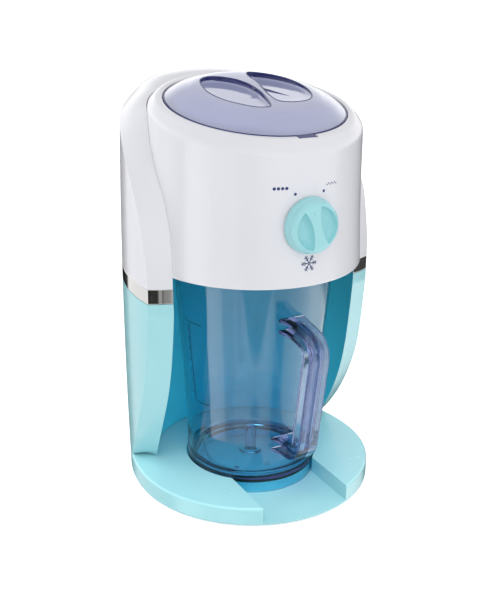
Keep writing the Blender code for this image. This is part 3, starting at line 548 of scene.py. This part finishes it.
def band_section(step, inner, outer, inset=0.0):
    low, high = (BAND_LOW - 5.0, BAND_HIGH + 5.0) if inset else (BAND_LOW, BAND_HIGH)
    return wall_section((inner, outer), (low, low), (high, high), lambda z: LEG_RADIUS[1], (0.0, 0.0),
                        ridge_of(step, 0.4), inset)


def hollow_wall(name, section_at, finish, edge):
    """A wall with a cavity in it, and its edges rounded by edge millimetres."""
    obj = round_edges(object_of(name, swept_wall(section_at), finish, 30.0), edge, 32.0)

    def cavity(step, inner, outer):
        return section_at(step, inner, outer, WALL)

    return cut_away(obj, "cavity", swept_wall(cavity, CAVITY_STEPS))


def body_shells():
    column = hollow_wall("column_shell", column_section, TEAL, 0.7)
    cut_away(column, "switch_hole", box((-10.4, 105.0, 52.6), (10.4, 130.0, 73.4)))
    stands_for(settle(column), "machine", "teal", "column")
    band = hollow_wall("chrome_trim_band", band_section, CHROME, 0.35)
    stands_for(settle(band), "machine", "chrome_trim", "chrome_band")
    hood = hollow_wall("hood_shell", hood_section, WHITE, 0.9)
    cut_away(hood, "motor_window", box((-24.0, 70.0, 199.0), (24.0, 90.0, 265.0)))
    stands_for(settle(hood), "machine", "white", "hood")


def box(low, high):
    (x0, y0, z0), (x1, y1, z1) = low, high
    return loft([[(x0, y0, z), (x1, y0, z), (x1, y1, z), (x0, y1, z)] for z in (z0, z1)])


# ---------------------------------------------------------------- base


def base_ring(z, inset):
    ring = []
    for i in range(ROUND):
        angle = 2 * math.pi * i / ROUND
        reach = BASE_RADIUS if angle > math.pi else BASE_BACK
        ring.append(((BASE_RADIUS - inset) * math.cos(angle), (reach - inset) * math.sin(angle), z))
    return ring


def well_outline(extra):
    """The jug well with the channel that runs from it to the front, grown by extra."""
    radius, half = 52.3 + extra, 36.5 + extra
    start = -math.pi / 2 + math.asin(half / radius)
    sweep = 2 * math.pi - 2 * math.asin(half / radius)
    arc = [(radius * math.cos(start + sweep * i / 96), radius * math.sin(start + sweep * i / 96))
           for i in range(97)]
    return arc + [(-half, -110.0), (half, -110.0)]


def base():
    side = soften([(1.5, 0.6), (2.1, 0.0), (14.6, 0.0), (15.8, 1.2)], 0.9)
    tray = object_of("base_shell", loft([base_ring(z, inset) for z, inset in side]), TEAL)
    cut_away(tray, "well", prism(well_outline(0.0), 3.1, 20.8))
    cut_away(tray, "cord_hole", along_y(2.8, 95.0, 118.0, -26.0, 8.4))
    hollow = object_of("base_hollow", loft([base_ring(0.0, WALL), base_ring(13.4, WALL)]))
    hollow_out(tray, "hollow", cut_away(hollow, "keep", prism(well_outline(WALL), -1.0, 20.0)))
    round_edges(tray, 0.55, 50.0)
    stands_for(settle(tray), "machine", "teal", "base_tray")


def along_y(radius, y0, y1, x, z):
    """A round bar from y0 to y1."""
    points, faces = turned(((y0, radius), (y1, radius)), segments=32)
    return [(px + x, pz, py + z) for px, py, pz in points], faces


# ---------------------------------------------------------------- head

LID_Z = 297.4
KNOB_Z, KNOB_Y, KNOB_REST = 226.0, -80.1, math.radians(15.0)
DOTS_X, DOTS_Z = 11.4, 248.6  # the dots at the knob's two ends of travel
SIGNS_Z, CRYSTAL_Z = 253.0, 198.6


def lean(rings):
    """From the lid's own frame, where height runs along its axis, to the machine's."""
    cos, sin = math.cos(LID_TILT), math.sin(LID_TILT)
    return [[(u, v * cos - h * sin, LID_Z + v * sin + h * cos) for u, v, h in ring] for ring in rings]


def tilted(radius, height):
    """A circle square to the lid's axis."""
    return lean([circle(radius, height)])[0]


def sheared(radius, drop):
    """A ring that is round from above and leans as much as the lid."""
    slope = math.tan(LID_TILT)
    return [(x, y, LID_Z + y * slope + drop) for x, y, _ in circle(radius, 0.0)]


def head():
    wall = [(80.9, 181.6), (81.3, 181.75), (81.55, 182.4)]
    wall += [(eased(HEAD_RADIUS, z), z) for z in (184.0, 192.0, 204.0, 215.0, 226.0, 238.0, 250.0, 262.0)]
    outside = [circle(r, z) for r, z in wall]
    shoulder = through([(79.1, -9.5), (78.7, -7.0), (77.4, -4.7), (73.9, -0.8), (72.2, 0.3), (70.6, 0.75)],
                       4)
    top = [sheared(r, drop) for r, drop in shoulder]
    top += [tilted(r, h) for r, h in ((69.0, 0.62), (68.4, 0.5), (68.05, 0.2), (67.9, -0.4))]
    inside = [tilted(67.9, -3.0), tilted(74.0, -5.0), sheared(76.4, -10.0), circle(76.6, 262.0),
              circle(77.2, 226.0), circle(78.8, 181.6)]
    shell = object_of("head_shell", loft(outside + top + inside, closed=True), WHITE, 50.0)
    cut_away(shell, "motor_window", box((-24.0, 60.0, 199.0), (24.0, 100.0, 265.0)))
    cut_away(shell, "knob_bore", along_y(6.0, -90.0, -70.0, 0.0, KNOB_Z))
    cut_away(shell, "lock_notch", box((-5.2, -71.4, 270.0), (10.2, -60.0, 292.0)))
    stands_for(settle(shell, 40.0), "machine", "white", "head_housing")


def stroke(points, width):
    """The outline of a line of even width, drawn on the flat."""
    sides = ([], [])
    for i, p in enumerate(points):
        a, b = points[max(0, i - 1)], points[min(len(points) - 1, i + 1)]
        along = math.atan2(b[1] - a[1], b[0] - a[0])
        for side, reach in zip(sides, (width / 2, -width / 2)):
            side.append((p[0] - reach * math.sin(along), p[1] + reach * math.cos(along)))
    return sides[0] + sides[1][::-1]


def spot(x, y, radius, corners=20):
    return [(x + radius * math.cos(2 * math.pi * i / corners),
             y + radius * math.sin(2 * math.pi * i / corners)) for i in range(corners)]


def printed(name, outlines, radius_at, finish, azimuth=-math.pi / 2):
    """Thin marks laid on an upright round wall: outlines in (distance round the wall, height)."""
    points, faces = [], []
    for outline in outlines:
        start, count = len(points), len(outline)
        for lift in (0.01, 0.07):
            for u, z in outline:
                radius = radius_at(z) + lift
                turn = azimuth + u / radius
                points.append((radius * math.cos(turn), radius * math.sin(turn), z))
        faces += [(start + j, start + (j + 1) % count, start + count + (j + 1) % count, start + count + j)
                  for j in range(count)]
        faces += [tuple(start + j for j in range(count)), tuple(start + count + j for j in range(count))]
    return object_of(name, (points, faces), finish)


def head_marks():
    """Dots at the knob's two ends of travel, a coarse and a fine ice sign, and a plain snow crystal."""
    marks = [spot(side * DOTS_X, DOTS_Z, 1.05) for side in (-1, 1)]
    marks += [spot(-26.4 + 2.9 * i, SIGNS_Z, 1.25, 6) for i in range(4)]
    marks += [spot(14.2 + 1.45 * i, SIGNS_Z - 0.4 + 0.9 * (i % 2), 0.55, 8) for i in range(7)]
    for arm in range(6):
        turn = math.pi * arm / 3

        def place(u, v, turn=turn):
            return (u * math.cos(turn) - v * math.sin(turn),
                    CRYSTAL_Z + u * math.sin(turn) + v * math.cos(turn))

        marks.append(stroke([place(0.3, 0.0), place(6.2, 0.0)], 0.7))
        for branch in (2.7, 4.3):
            for side in (-1, 1):
                marks.append(stroke([place(branch, 0.0), place(branch + 1.15, side * 1.4)], 0.55))
    stands_for(printed("head_marks", marks, lambda z: eased(HEAD_RADIUS, z), PRINT), "machine",
               "dark_plastic")


def on_knob(shape, y=KNOB_Y):
    """Turns a shape built along +Z to face the front at the knob, at the knob's resting angle."""
    points, faces = shape
    cos, sin = math.cos(KNOB_REST), math.sin(KNOB_REST)
    return [(px * cos - py * sin, y - pz, KNOB_Z + px * sin + py * cos) for px, py, pz in points], faces


def scoop_ring(side, scale, height):
    """One level of the finger scoop beside the knob's grip: round outside, hollow towards the grip."""
    ring = [(15.9 * math.cos(t), 15.9 * math.sin(t))
            for t in (math.radians(-66.0 + 132.0 * i / 32) for i in range(33))]
    ring += [(3.4 + 3.0 * (1 - i / 10) ** 2, 14.5 * (1 - i / 10)) for i in range(1, 20)]
    return [(side * (9.2 + (u - 9.2) * scale), v * scale, height) for u, v in ring]


def knob():
    profile = soften([(0.0, 20.2), (3.2, 20.0), (3.6, 19.5), (7.6, 18.8), (9.7, 17.1), (10.6, 14.4),
                      (11.0, 8.0)], 1.8, 5)
    made = object_of("knob_body", on_knob(turned(profile, segments=128)), KNOB_TEAL, 50.0)
    levels = through([(1.06, 13.1), (0.99, 10.1), (0.86, 6.9), (0.6, 5.0)], 4)
    for side in (-1, 1):
        cut_away(made, f"scoop_{side + 1}", on_knob(loft([scoop_ring(side, s, h) for s, h in levels])))
    round_edges(made, 0.45, 35.0)
    stands_for(settle(made, 50.0), "knob", "knob_teal", "knob")
    dot = turned(((10.0, 0.9), (10.9, 0.88), (11.25, 0.6), (11.35, 0.2)), (0.0, 11.0), 24)
    stands_for(object_of("knob_pointer_dot", on_knob(dot), KNOB_TEAL), "knob", "knob_teal")


# ---------------------------------------------------------------- lid

LID_TOP = ((0.0, 11.5), (20.0, 11.3), (42.0, 10.6), (52.0, 8.0), (60.0, 4.6), (66.6, 0.3))
LEFT_BOWL = ((-6, 25.5), (-2.3, 17.5), (-0.3, 8.8), (-0.4, -5), (-1.4, -12), (-3.6, -22.6),
             (-6, -32), (-9, -36.5), (-19, -34.6), (-27.7, -26.4), (-35.6, -15), (-38.8, 0),
             (-37.7, 10), (-35, 22), (-31, 31), (-24, 35.5), (-15, 33.5))
RIGHT_BOWL = ((11, 38), (8.6, 30), (8.8, 14), (6.5, 4), (3.6, -8), (2.2, -18), (2.6, -26), (8, -29.5),
              (17, -30.5), (27, -28.5), (35, -21), (39.5, -8), (40.5, 5), (38, 18), (32, 29),
              (24, 37), (16, 41))


def cut_corners(outline):
    """The outline with each side's end quarters cut off, which rounds it when done twice."""
    made = []
    for (x0, y0), (x1, y1) in zip(outline, outline[1:] + outline[:1]):
        made += [(near * x0 + (1 - near) * x1, near * y0 + (1 - near) * y1) for near in (0.75, 0.25)]
    return made


def bowl_rings(outline, levels, tip=0.0):
    """Rings of a finger bowl as (growth, height); tip is how much deeper its floor gets to the back."""
    outline = cut_corners(cut_corners(list(outline)))
    cu = sum(u for u, _ in outline) / len(outline)
    cv = sum(v for _, v in outline) / len(outline)
    rings = []
    for growth, height in levels:
        ring = []
        for u, v in outline:
            grow = 1 + growth / math.hypot(u - cu, v - cv)
            pu, pv = cu + (u - cu) * grow, cv + (v - cv) * grow
            ring.append((pu, pv, height - tip * pv))
        rings.append(ring)
    return rings


def lid():
    under = [(20.0, 4.2), (41.0, 3.8), (50.8, 2.6), (58.6, 0.8), (60.9, -0.6)]
    skirt = soften([(60.9, -8.4), (62.9, -8.4), (63.1, -3.3), (66.9, -3.3), (67.2, -2.9), (67.2, -0.5)],
                   0.4, 2)
    top = [(66.6, 0.3), (60.0, 4.6), (52.0, 8.0), (42.0, 10.45), (20.0, 11.15)]
    profile = through(under, 6) + skirt + through(top, 8)
    made = object_of("lid_shell", loft([tilted(r, h) for r, h in profile]), CLEAR_VIOLET)
    for side, outline in (("left", LEFT_BOWL), ("right", RIGHT_BOWL)):
        levels = [(0.35, 14.0), (-0.35, 8.9), (-1.3, 8.1), (-3.4, 7.8), (-10.0, 7.6)]
        tip = 0.035 if side == "left" else 0.055
        cut_away(made, f"{side}_bowl", loft(lean(bowl_rings(outline, levels, tip))))
    round_edges(made, 0.35, 42.0, 2)
    stands_for(settle(made, 45.0), "lid", "clear_violet", "lid")
    lid_details()


def lid_block(outline, low, high):
    """A thin block on the lid: its outline in the lid's own plane, its heights along the lid's axis."""
    return loft(lean([[(u, v, h) for u, v in outline] for h in (low, high)]))


def painted_shade_line(name, rings):
    """A thin dark line of painted shade in the lid's edges, where the clear plastic traps light."""
    stands_for(object_of(name, loft(lean(rings), closed=True), NAVY_AND_PAINTED_SHADE), "lid", "clear_violet")


def lid_details():
    # Painted shade: dark lines round the finger bowls.
    for side, outline in (("left", LEFT_BOWL), ("right", RIGHT_BOWL)):
        around = [bowl_rings(outline, ((growth, 0.0),))[0] for growth in (0.7, -0.1)]
        corners = ((around[0], -0.6), (around[0], 0.12), (around[1], 0.12), (around[1], -0.9))
        lines = [[(u, v, eased(LID_TOP, math.hypot(u, v)) + lift) for u, v, _ in ring]
                 for ring, lift in corners]
        painted_shade_line(f"lid_{side}_bowl_line", lines)
    # Painted shade: dark rings in the lid's outer and inner rims.
    for name, outer, inner, high in (("rim", 67.15, 66.2, 0.28), ("inner_rim", 64.3, 63.9, 1.85)):
        corners = ((outer, high - 0.9), (outer, high - 0.25), (inner, high + 0.3), (inner, high - 0.6))
        painted_shade_line(f"lid_{name}_line", [circle(r, h) for r, h in corners])
    tab = object_of("lid_lock_tab", lid_block([(-4.5, -71.7), (9.5, -71.7), (9.5, -66.0), (-4.5, -66.0)],
                                              -3.2, 0.5), NAVY_AND_PAINTED_SHADE)
    stands_for(round_edges(tab, 0.4), "lid", "clear_violet")
    window = object_of("lid_catch_window", lid_block([(-3.4, 2.4), (-1.2, 3.4), (0.5, 0.2), (-1.7, -0.8)],
                                                     11.0, 11.35), NAVY_AND_PAINTED_SHADE)
    stands_for(round_edges(window, 0.1), "lid", "clear_violet")
    # A dark line of painted shade along a crease across the right bowl.
    crease_shade = object_of("lid_crease", lid_block(stroke([(8.9, 12.6), (18.6, -6.0), (28.4, -24.5)], 0.5),
                                               7.0, 8.25), NAVY_AND_PAINTED_SHADE)
    stands_for(crease_shade, "lid", "clear_violet")


# ---------------------------------------------------------------- jug

JUG_OUT = ((3.4, 50.9), (15.8, 51.3), (17.0, 51.5), (40.0, 51.2), (85.0, 53.8),
           (123.0, 57.1), (162.0, 60.4), (179.6, 61.7))
JUG_IN = ((180.6, 59.6), (123.0, 54.7), (85.0, 51.4), (40.0, 48.8), (24.0, 48.4), (19.0, 46.6),
          (15.6, 43.0), (14.2, 38.0))
HANDLE_PATH = ((-59.9, 145.6), (-70.0, 145.3), (-80.0, 144.0), (-88.0, 141.8), (-92.8, 137.4), (-94.2, 131.0),
               (-92.1, 118.0), (-88.6, 95.0), (-85.4, 75.0), (-83.4, 62.0), (-80.6, 54.0), (-75.5, 49.2),
               (-66.0, 47.0), (-52.2, 46.2))


def jug_radius(z):
    return eased(JUG_OUT, z)


def jug():
    outer = [(3.4, 50.9), (15.2, 51.3)] + soften([(15.4, 51.3), (16.0, 50.9), (16.6, 51.5)], 0.4, 3)
    outer += through(JUG_OUT[3:], 6) + [(180.2, 61.65), (180.6, 61.3)]
    inner = [(180.6, 59.6)] + through(((179.8, 59.5),) + JUG_IN[1:5], 6) + through(JUG_IN[5:], 4)
    post = soften([(14.2, 9.3), (15.2, 8.9), (15.4, 4.6), (32.6, 4.2), (35.4, 2.6), (36.2, 0.6)], 0.8, 4)
    profile = [(11.6, 40.0), (11.6, 48.6), (3.4, 49.1)] + outer + inner + post
    made = object_of("jug_shell", turned(profile), CLEAR_BLUE)
    stands_for(made, "jug", "clear_blue", "jug")
    jug_floor_details()
    jug_scale()


def jug_floor_details():
    """The rib, pip and ring on the jug's floor; a dark line of painted shade along the floor's groove; a teal
    sheet of painted light inside the skirt; and the skirt's slot, drawn dark as painted shade.
    """
    path = through([(24.0, 37.0), (5.0, 42.5), (-15.0, 40.5), (-29.0, 29.0), (-35.2, 8.0), (-35.6, -12.0),
                    (-32.5, -27.0)], 8)
    rib = object_of("jug_floor_rib", prism(stroke(path, 1.5), 14.3, 16.0), CLEAR_BLUE)
    stands_for(round_edges(rib, 0.4), "jug", "clear_blue")
    pip = object_of("jug_floor_pip", turned(soften([(14.3, 2.4), (15.6, 2.2), (16.6, 1.2), (16.8, 0.3)], 0.6),
                                            (-25.0, -23.5), 32), NAVY_AND_PAINTED_SHADE)
    stands_for(pip, "jug", "clear_blue")
    ring = turned([(14.3, 1.5), (14.3, 2.1), (14.75, 2.0), (14.75, 1.6)], (0.9, -26.5), 32, closed=True)
    stands_for(object_of("jug_floor_ring", ring, CLEAR_BLUE), "jug", "clear_blue")
    # Painted shade: a dark line along the floor's groove, on the front only and thinning to its ends.
    groove_shade = ((14.6, 51.33), (14.6, 51.45), (17.2, 51.60), (17.2, 51.50))
    line = object_of("jug_floor_shade_line", front_arc(groove_shade, -134.0, -44.0), NAVY_AND_PAINTED_SHADE)
    stands_for(line, "jug", "clear_blue")
    # Painted light: a teal sheet inside the skirt, where the light through the skirt shows.
    inner = turned([(3.7, 48.5), (11.3, 48.2), (11.3, 48.0), (3.7, 48.3)], closed=True)
    stands_for(object_of("jug_skirt_painted_light", inner, SKIRT_PAINTED_LIGHT), "jug", "clear_blue")
    # Painted shade: the skirt's slot is drawn as a dark stroke, for the shade in it.
    slot = printed("jug_skirt_slot_shade", [stroke([(0.0, 9.5), (0.0, 18.5)], 0.9)], jug_radius, NAVY_AND_PAINTED_SHADE,
                   math.radians(-136.0))
    stands_for(slot, "jug", "clear_blue")


def front_arc(corners, start, end):
    """A bar with (height, radius) corners between two azimuths in degrees, which thins to its ends."""
    steps = 64
    middle = sum(z for z, _ in corners) / len(corners)
    sections = []
    for i in range(steps + 1):
        turn = math.radians(start + (end - start) * i / steps)
        share = max(0.12, math.sin(math.pi * i / steps) ** 0.6)
        sections.append([(radius * math.cos(turn), radius * math.sin(turn), middle + (z - middle) * share)
                         for z, radius in corners])
    return loft(sections)


def jug_scale():
    """Filling lines up the jug's left side, printed without figures."""
    marks = [stroke([(0.0, 137.0), (0.3, 105.0), (1.7, 73.2)], 0.7),
             stroke([(1.7, 73.2), (10.0, 73.4), (18.0, 73.8)], 0.6),
             stroke([(-5.0, 140.4), (2.0, 139.6), (15.0, 139.8)], 0.6)]
    marks += [stroke([(-3.4, z), (-0.2, z)], 0.5) for z in (80.0, 89.0, 98.0, 107.0, 116.0, 125.0, 133.0)]
    stands_for(printed("jug_filling_lines", marks, jug_radius, JUG_PRINT, math.radians(-174.0)),
               "jug", "dark_plastic")


def i_beam(width, depth, flange, web):
    """The outline of an I section, flanges front and back."""
    w, d, t = width / 2, depth / 2, web / 2
    return [(-w, -d), (w, -d), (w, -d + flange), (t, -d + flange), (t, d - flange), (w, d - flange),
            (w, d), (-w, d), (-w, d - flange), (-t, d - flange), (-t, -d + flange), (-w, -d + flange)]


def jug_handle():
    corners = soften(i_beam(16.0, 11.2, 2.5, 3.6), 0.6, 3, closed=True)
    path = through(HANDLE_PATH, 6)
    rings = []
    for i, (y, z) in enumerate(path):
        (ya, za), (yb, zb) = path[max(0, i - 1)], path[min(len(path) - 1, i + 1)]
        along = math.atan2(zb - za, yb - ya)
        if i in (0, len(path) - 1):
            along = math.pi if i == 0 else 0.0
        ny, nz = math.sin(along), -math.cos(along)
        near = min(math.dist(path[i], path[0]), math.dist(path[i], path[-1]))
        flare = 1.0 + 0.35 * max(0.0, 1.0 - near / 14.0) ** 1.5
        rings.append([(x * flare, y + ny * d, z + nz * d) for x, d in corners])
    made = object_of("jug_handle_grip", loft(rings), CLEAR_HANDLE, 60.0)
    stands_for(made, "jug", "clear_blue", "jug_handle")


body_shells()
base()
head()
head_marks()
knob()
lid()
jug()
jug_handle()

# ---------------------------------------------------------------- stage


def soft_light(name, place, aim, size, power):
    """A soft area lamp. It lights surfaces, and the world's own windows are what polished ones mirror."""
    made = bpy.data.lights.new(name, "AREA")
    made.shape, made.size, made.size_y = "RECTANGLE", size[0], size[1]
    made.energy = power
    obj = bpy.data.objects.new(name, made)
    obj.location = place
    obj.rotation_euler = (Vector(aim) - Vector(place)).to_track_quat("-Z", "Y").to_euler()
    obj.visible_glossy = False
    bpy.context.scene.collection.objects.link(obj)
    return obj


# Places and sizes on the stage are in metres, powers in watts.
FLOOR_HALF = 6.0
BODY_MIDDLE = (0, -0.02, 0.12)
LAMPS = (("key", (-0.70, -0.95, 1.30), BODY_MIDDLE, (0.9, 0.9), 5.5),
         ("front_fill", (-0.25, -1.5, 0.45), BODY_MIDDLE, (1.2, 0.7), 4.0),
         ("right_fill", (1.2, -0.7, 0.8), BODY_MIDDLE, (0.9, 0.9), 2.9),
         ("left_fill", (-0.95, 1.05, 0.55), (0, 0, 0.15), (0.8, 0.8), 8.0),
         ("top", (0.1, 0.2, 1.6), (0, 0, 0.2), (1.2, 1.2), 1.2))


def paper_floor():
    """A pale floor, brighter to the camera than its lamps make it. Polished parts do not mirror it."""
    half = FLOOR_HALF
    mesh = bpy.data.meshes.new("floor")
    mesh.from_pydata([(-half, -half, 0), (half, -half, 0), (half, half, 0), (-half, half, 0)], [],
                     [(0, 1, 2, 3)])
    floor = bpy.data.objects.new("floor", mesh)
    floor.visible_glossy = False
    bpy.context.scene.collection.objects.link(floor)
    paper = Paint("floor", (0.94, 0.945, 0.95), 0.75)
    paper.set("Base Color", paper.mix(paper.noise(3.0), (0.93, 0.935, 0.94, 1.0), (0.95, 0.955, 0.96, 1.0)))
    paper.shader.inputs["Emission Color"].default_value = (1.0, 1.0, 1.0, 1.0)
    to_camera = paper.node("LightPath").outputs["Is Camera Ray"]
    paper.set("Emission Strength", paper.ramp(to_camera, 0, 1, 0.0, 0.6))
    mesh.materials.append(paper.made)


def studio():
    paper_floor()
    world_light()
    for lamp in LAMPS:
        soft_light(*lamp)
    only_on("base_fill", (-0.22, -0.48, 1.0), (0, -0.01, 0.03), 5.4, ("base_shell", "jug_shell"))
    only_on("wall_fill", (-0.45, -0.85, 0.75), (0, -0.01, 0.08), 0.7, ("column_shell",))


def only_on(name, place, aim, power, pieces):
    """A soft lamp that lights only these pieces, as a shaded reflector would in the studio."""
    group = bpy.data.collections.new(name)
    for piece in pieces:
        group.objects.link(bpy.data.objects[piece])
    soft_light(name, place, aim, (0.7, 0.5), power).light_linking.receiver_collection = group


CAMERA_PLACE = (-0.3619, -0.6760, 0.4173)
CAMERA_AIM = (0.4484, 0.8267, -0.3398)
CAMERA_ROLL = math.radians(0.69)
CAMERA_LENS, SENSOR_WIDTH = 61.73, 36.0  # millimetres
CAMERA_AZIMUTH = math.radians(-118.5)  # where the camera stands, seen from the machine

# What polished surfaces mirror, as (angle from the camera's side, brightness): soft windows and dark flags.
# BELOW and ABOVE are for level directions, and FRONT is for those that lead down to the table in front.
MIRROR_LEFT = ((-180, 0.02), (-147, 0.02), (-145, 0.86), (-118, 0.8), (-103, 0.78), (-84, 0.1), (-78, 0.1))
MIRROR_BELOW = MIRROR_LEFT + ((-76, 1.5), (-63, 1.6), (-49, 1.4), (-46, 0.75), (-16, 0.6), (-13, 0.02),
                              (3, 0.02), (4, 0.32), (8.5, 0.32), (9, 0.02), (11, 0.02), (11.5, 0.34),
                              (18, 0.5), (50, 0.6), (76, 0.9), (94, 0.9), (100, 0.06), (180, 0.02))
MIRROR_FRONT = MIRROR_LEFT + ((-76, 2.1), (-63, 2.3), (-49, 2.0), (-46, 1.0), (-31, 0.8), (-28, 1.2),
                              (26, 1.2), (30, 0.8), (50, 0.9), (58, 1.3), (76, 1.8), (100, 2.6), (125, 1.4),
                              (144, 0.8), (148, 0.02), (180, 0.02))
MIRROR_ABOVE = ((-180, 1.5), (-120, 1.4), (-76, 0.9), (-50, 0.6), (0, 0.45), (50, 0.6), (76, 0.9), (120, 1.4),
                (180, 1.5))
BRIGHTEST = 3.2  # the tables are shown as shares of this, and scaled back after
WORLD_FILL = 0.55
DARK_FLAG = 0.005
ARCH_MIDDLE, ARCH_SPREAD, ARCH_FOOT = 0.1, 0.6, -0.545  # turn in radians, and the arch's parabola


def grey(level):
    return (level, level, level, 1.0)


def world_light():
    """White to the camera, an even grey to matt surfaces, and the mirror tables to polished ones."""
    world = bpy.context.scene.world or bpy.data.worlds.new("world")
    bpy.context.scene.world = world
    world.use_nodes = True
    world.cycles.sampling_method = "NONE"
    tree = world.node_tree
    sky = tree.nodes["Background"]

    def value(kind, inputs, **settings):
        return add_node(tree, kind, inputs, **settings).outputs[0]

    def ring_of(table):
        made = add_node(tree, "ValToRGB", {"Fac": share})
        stops = made.color_ramp.elements
        for turn_at, _ in table[1:-1]:
            stops.new((turn_at + 180.0) / 360.0)
        for stop, (turn_at, level) in zip(stops, table):
            stop.position, stop.color = (turn_at + 180.0) / 360.0, grey(level / BRIGHTEST)
        return made.outputs["Color"]

    way = add_node(tree, "TexCoord").outputs["Generated"]
    turned_way = value("VectorRotate", {"Vector": way, "Angle": -CAMERA_AZIMUTH}, rotation_type="Z_AXIS")
    part = add_node(tree, "SeparateXYZ", {"Vector": turned_way}).outputs
    turn = value("Math", {0: part["Y"], 1: part["X"]}, operation="ARCTAN2")
    share = value("MapRange", {"Value": turn, "From Min": -math.pi, "From Max": math.pi})
    above = value("MapRange", {"Value": part["Z"], "From Min": -0.12, "From Max": 0.12})
    high = value("MapRange", {"Value": part["Z"], "From Min": 0.26, "From Max": 0.48,
                              "To Min": BRIGHTEST, "To Max": 0.5 * BRIGHTEST})
    # The bright table top ends in an arch: over its edge, straight in front, everything is dark.
    aside = value("Math", {0: turn, 1: ARCH_MIDDLE}, operation="SUBTRACT")
    arch = value("Math", {0: aside, 1: aside}, operation="MULTIPLY")
    edge = value("Math", {0: arch, 1: ARCH_SPREAD, 2: ARCH_FOOT}, operation="MULTIPLY_ADD")
    over = value("Math", {0: part["Z"], 1: edge}, operation="SUBTRACT")
    on_table = value("MapRange", {"Value": over, "From Min": 0.004, "From Max": -0.02})
    downward = value("MapRange", {"Value": part["Z"], "From Min": -0.38, "From Max": -0.40})
    table_top = blend(tree, on_table, grey(DARK_FLAG), ring_of(MIRROR_FRONT))
    lower = blend(tree, downward, ring_of(MIRROR_BELOW), table_top)
    ring = blend(tree, above, lower, ring_of(MIRROR_ABOVE))
    mirrored = value("VectorMath", {0: ring, "Scale": high}, operation="SCALE")
    path = add_node(tree, "LightPath").outputs
    # Light mirrored inside a clear wall leaves it by refraction, so what counts is a mirroring anywhere.
    polished = value("Math", {0: path["Glossy Depth"], 1: 0.5}, operation="GREATER_THAN")
    clean = blend(tree, polished, grey(1.0), mirrored)
    seen = blend(tree, path["Is Diffuse Ray"], clean, grey(WORLD_FILL))
    tree.links.new(seen, sky.inputs["Color"])
    sky.inputs["Strength"].default_value = 1.0


def camera():
    made = bpy.data.cameras.new("camera")
    made.lens, made.sensor_width = CAMERA_LENS, SENSOR_WIDTH
    obj = bpy.data.objects.new("camera", made)
    forward = Vector(CAMERA_AIM).normalized()
    right = forward.cross(Vector((0, 0, 1))).normalized()
    up = right.cross(forward)
    cos, sin = math.cos(CAMERA_ROLL), math.sin(CAMERA_ROLL)
    right, up = right * cos + up * sin, up * cos - right * sin
    turn = Matrix((right, up, -forward)).transposed().to_4x4()
    obj.matrix_world = Matrix.Translation(CAMERA_PLACE) @ turn
    made.clip_start, made.clip_end = 0.01, 50.0
    bpy.context.scene.collection.objects.link(obj)
    bpy.context.scene.camera = obj


studio()
camera()
view = bpy.context.scene.view_settings
view.view_transform, view.look, view.exposure = "Standard", "None", 0.0
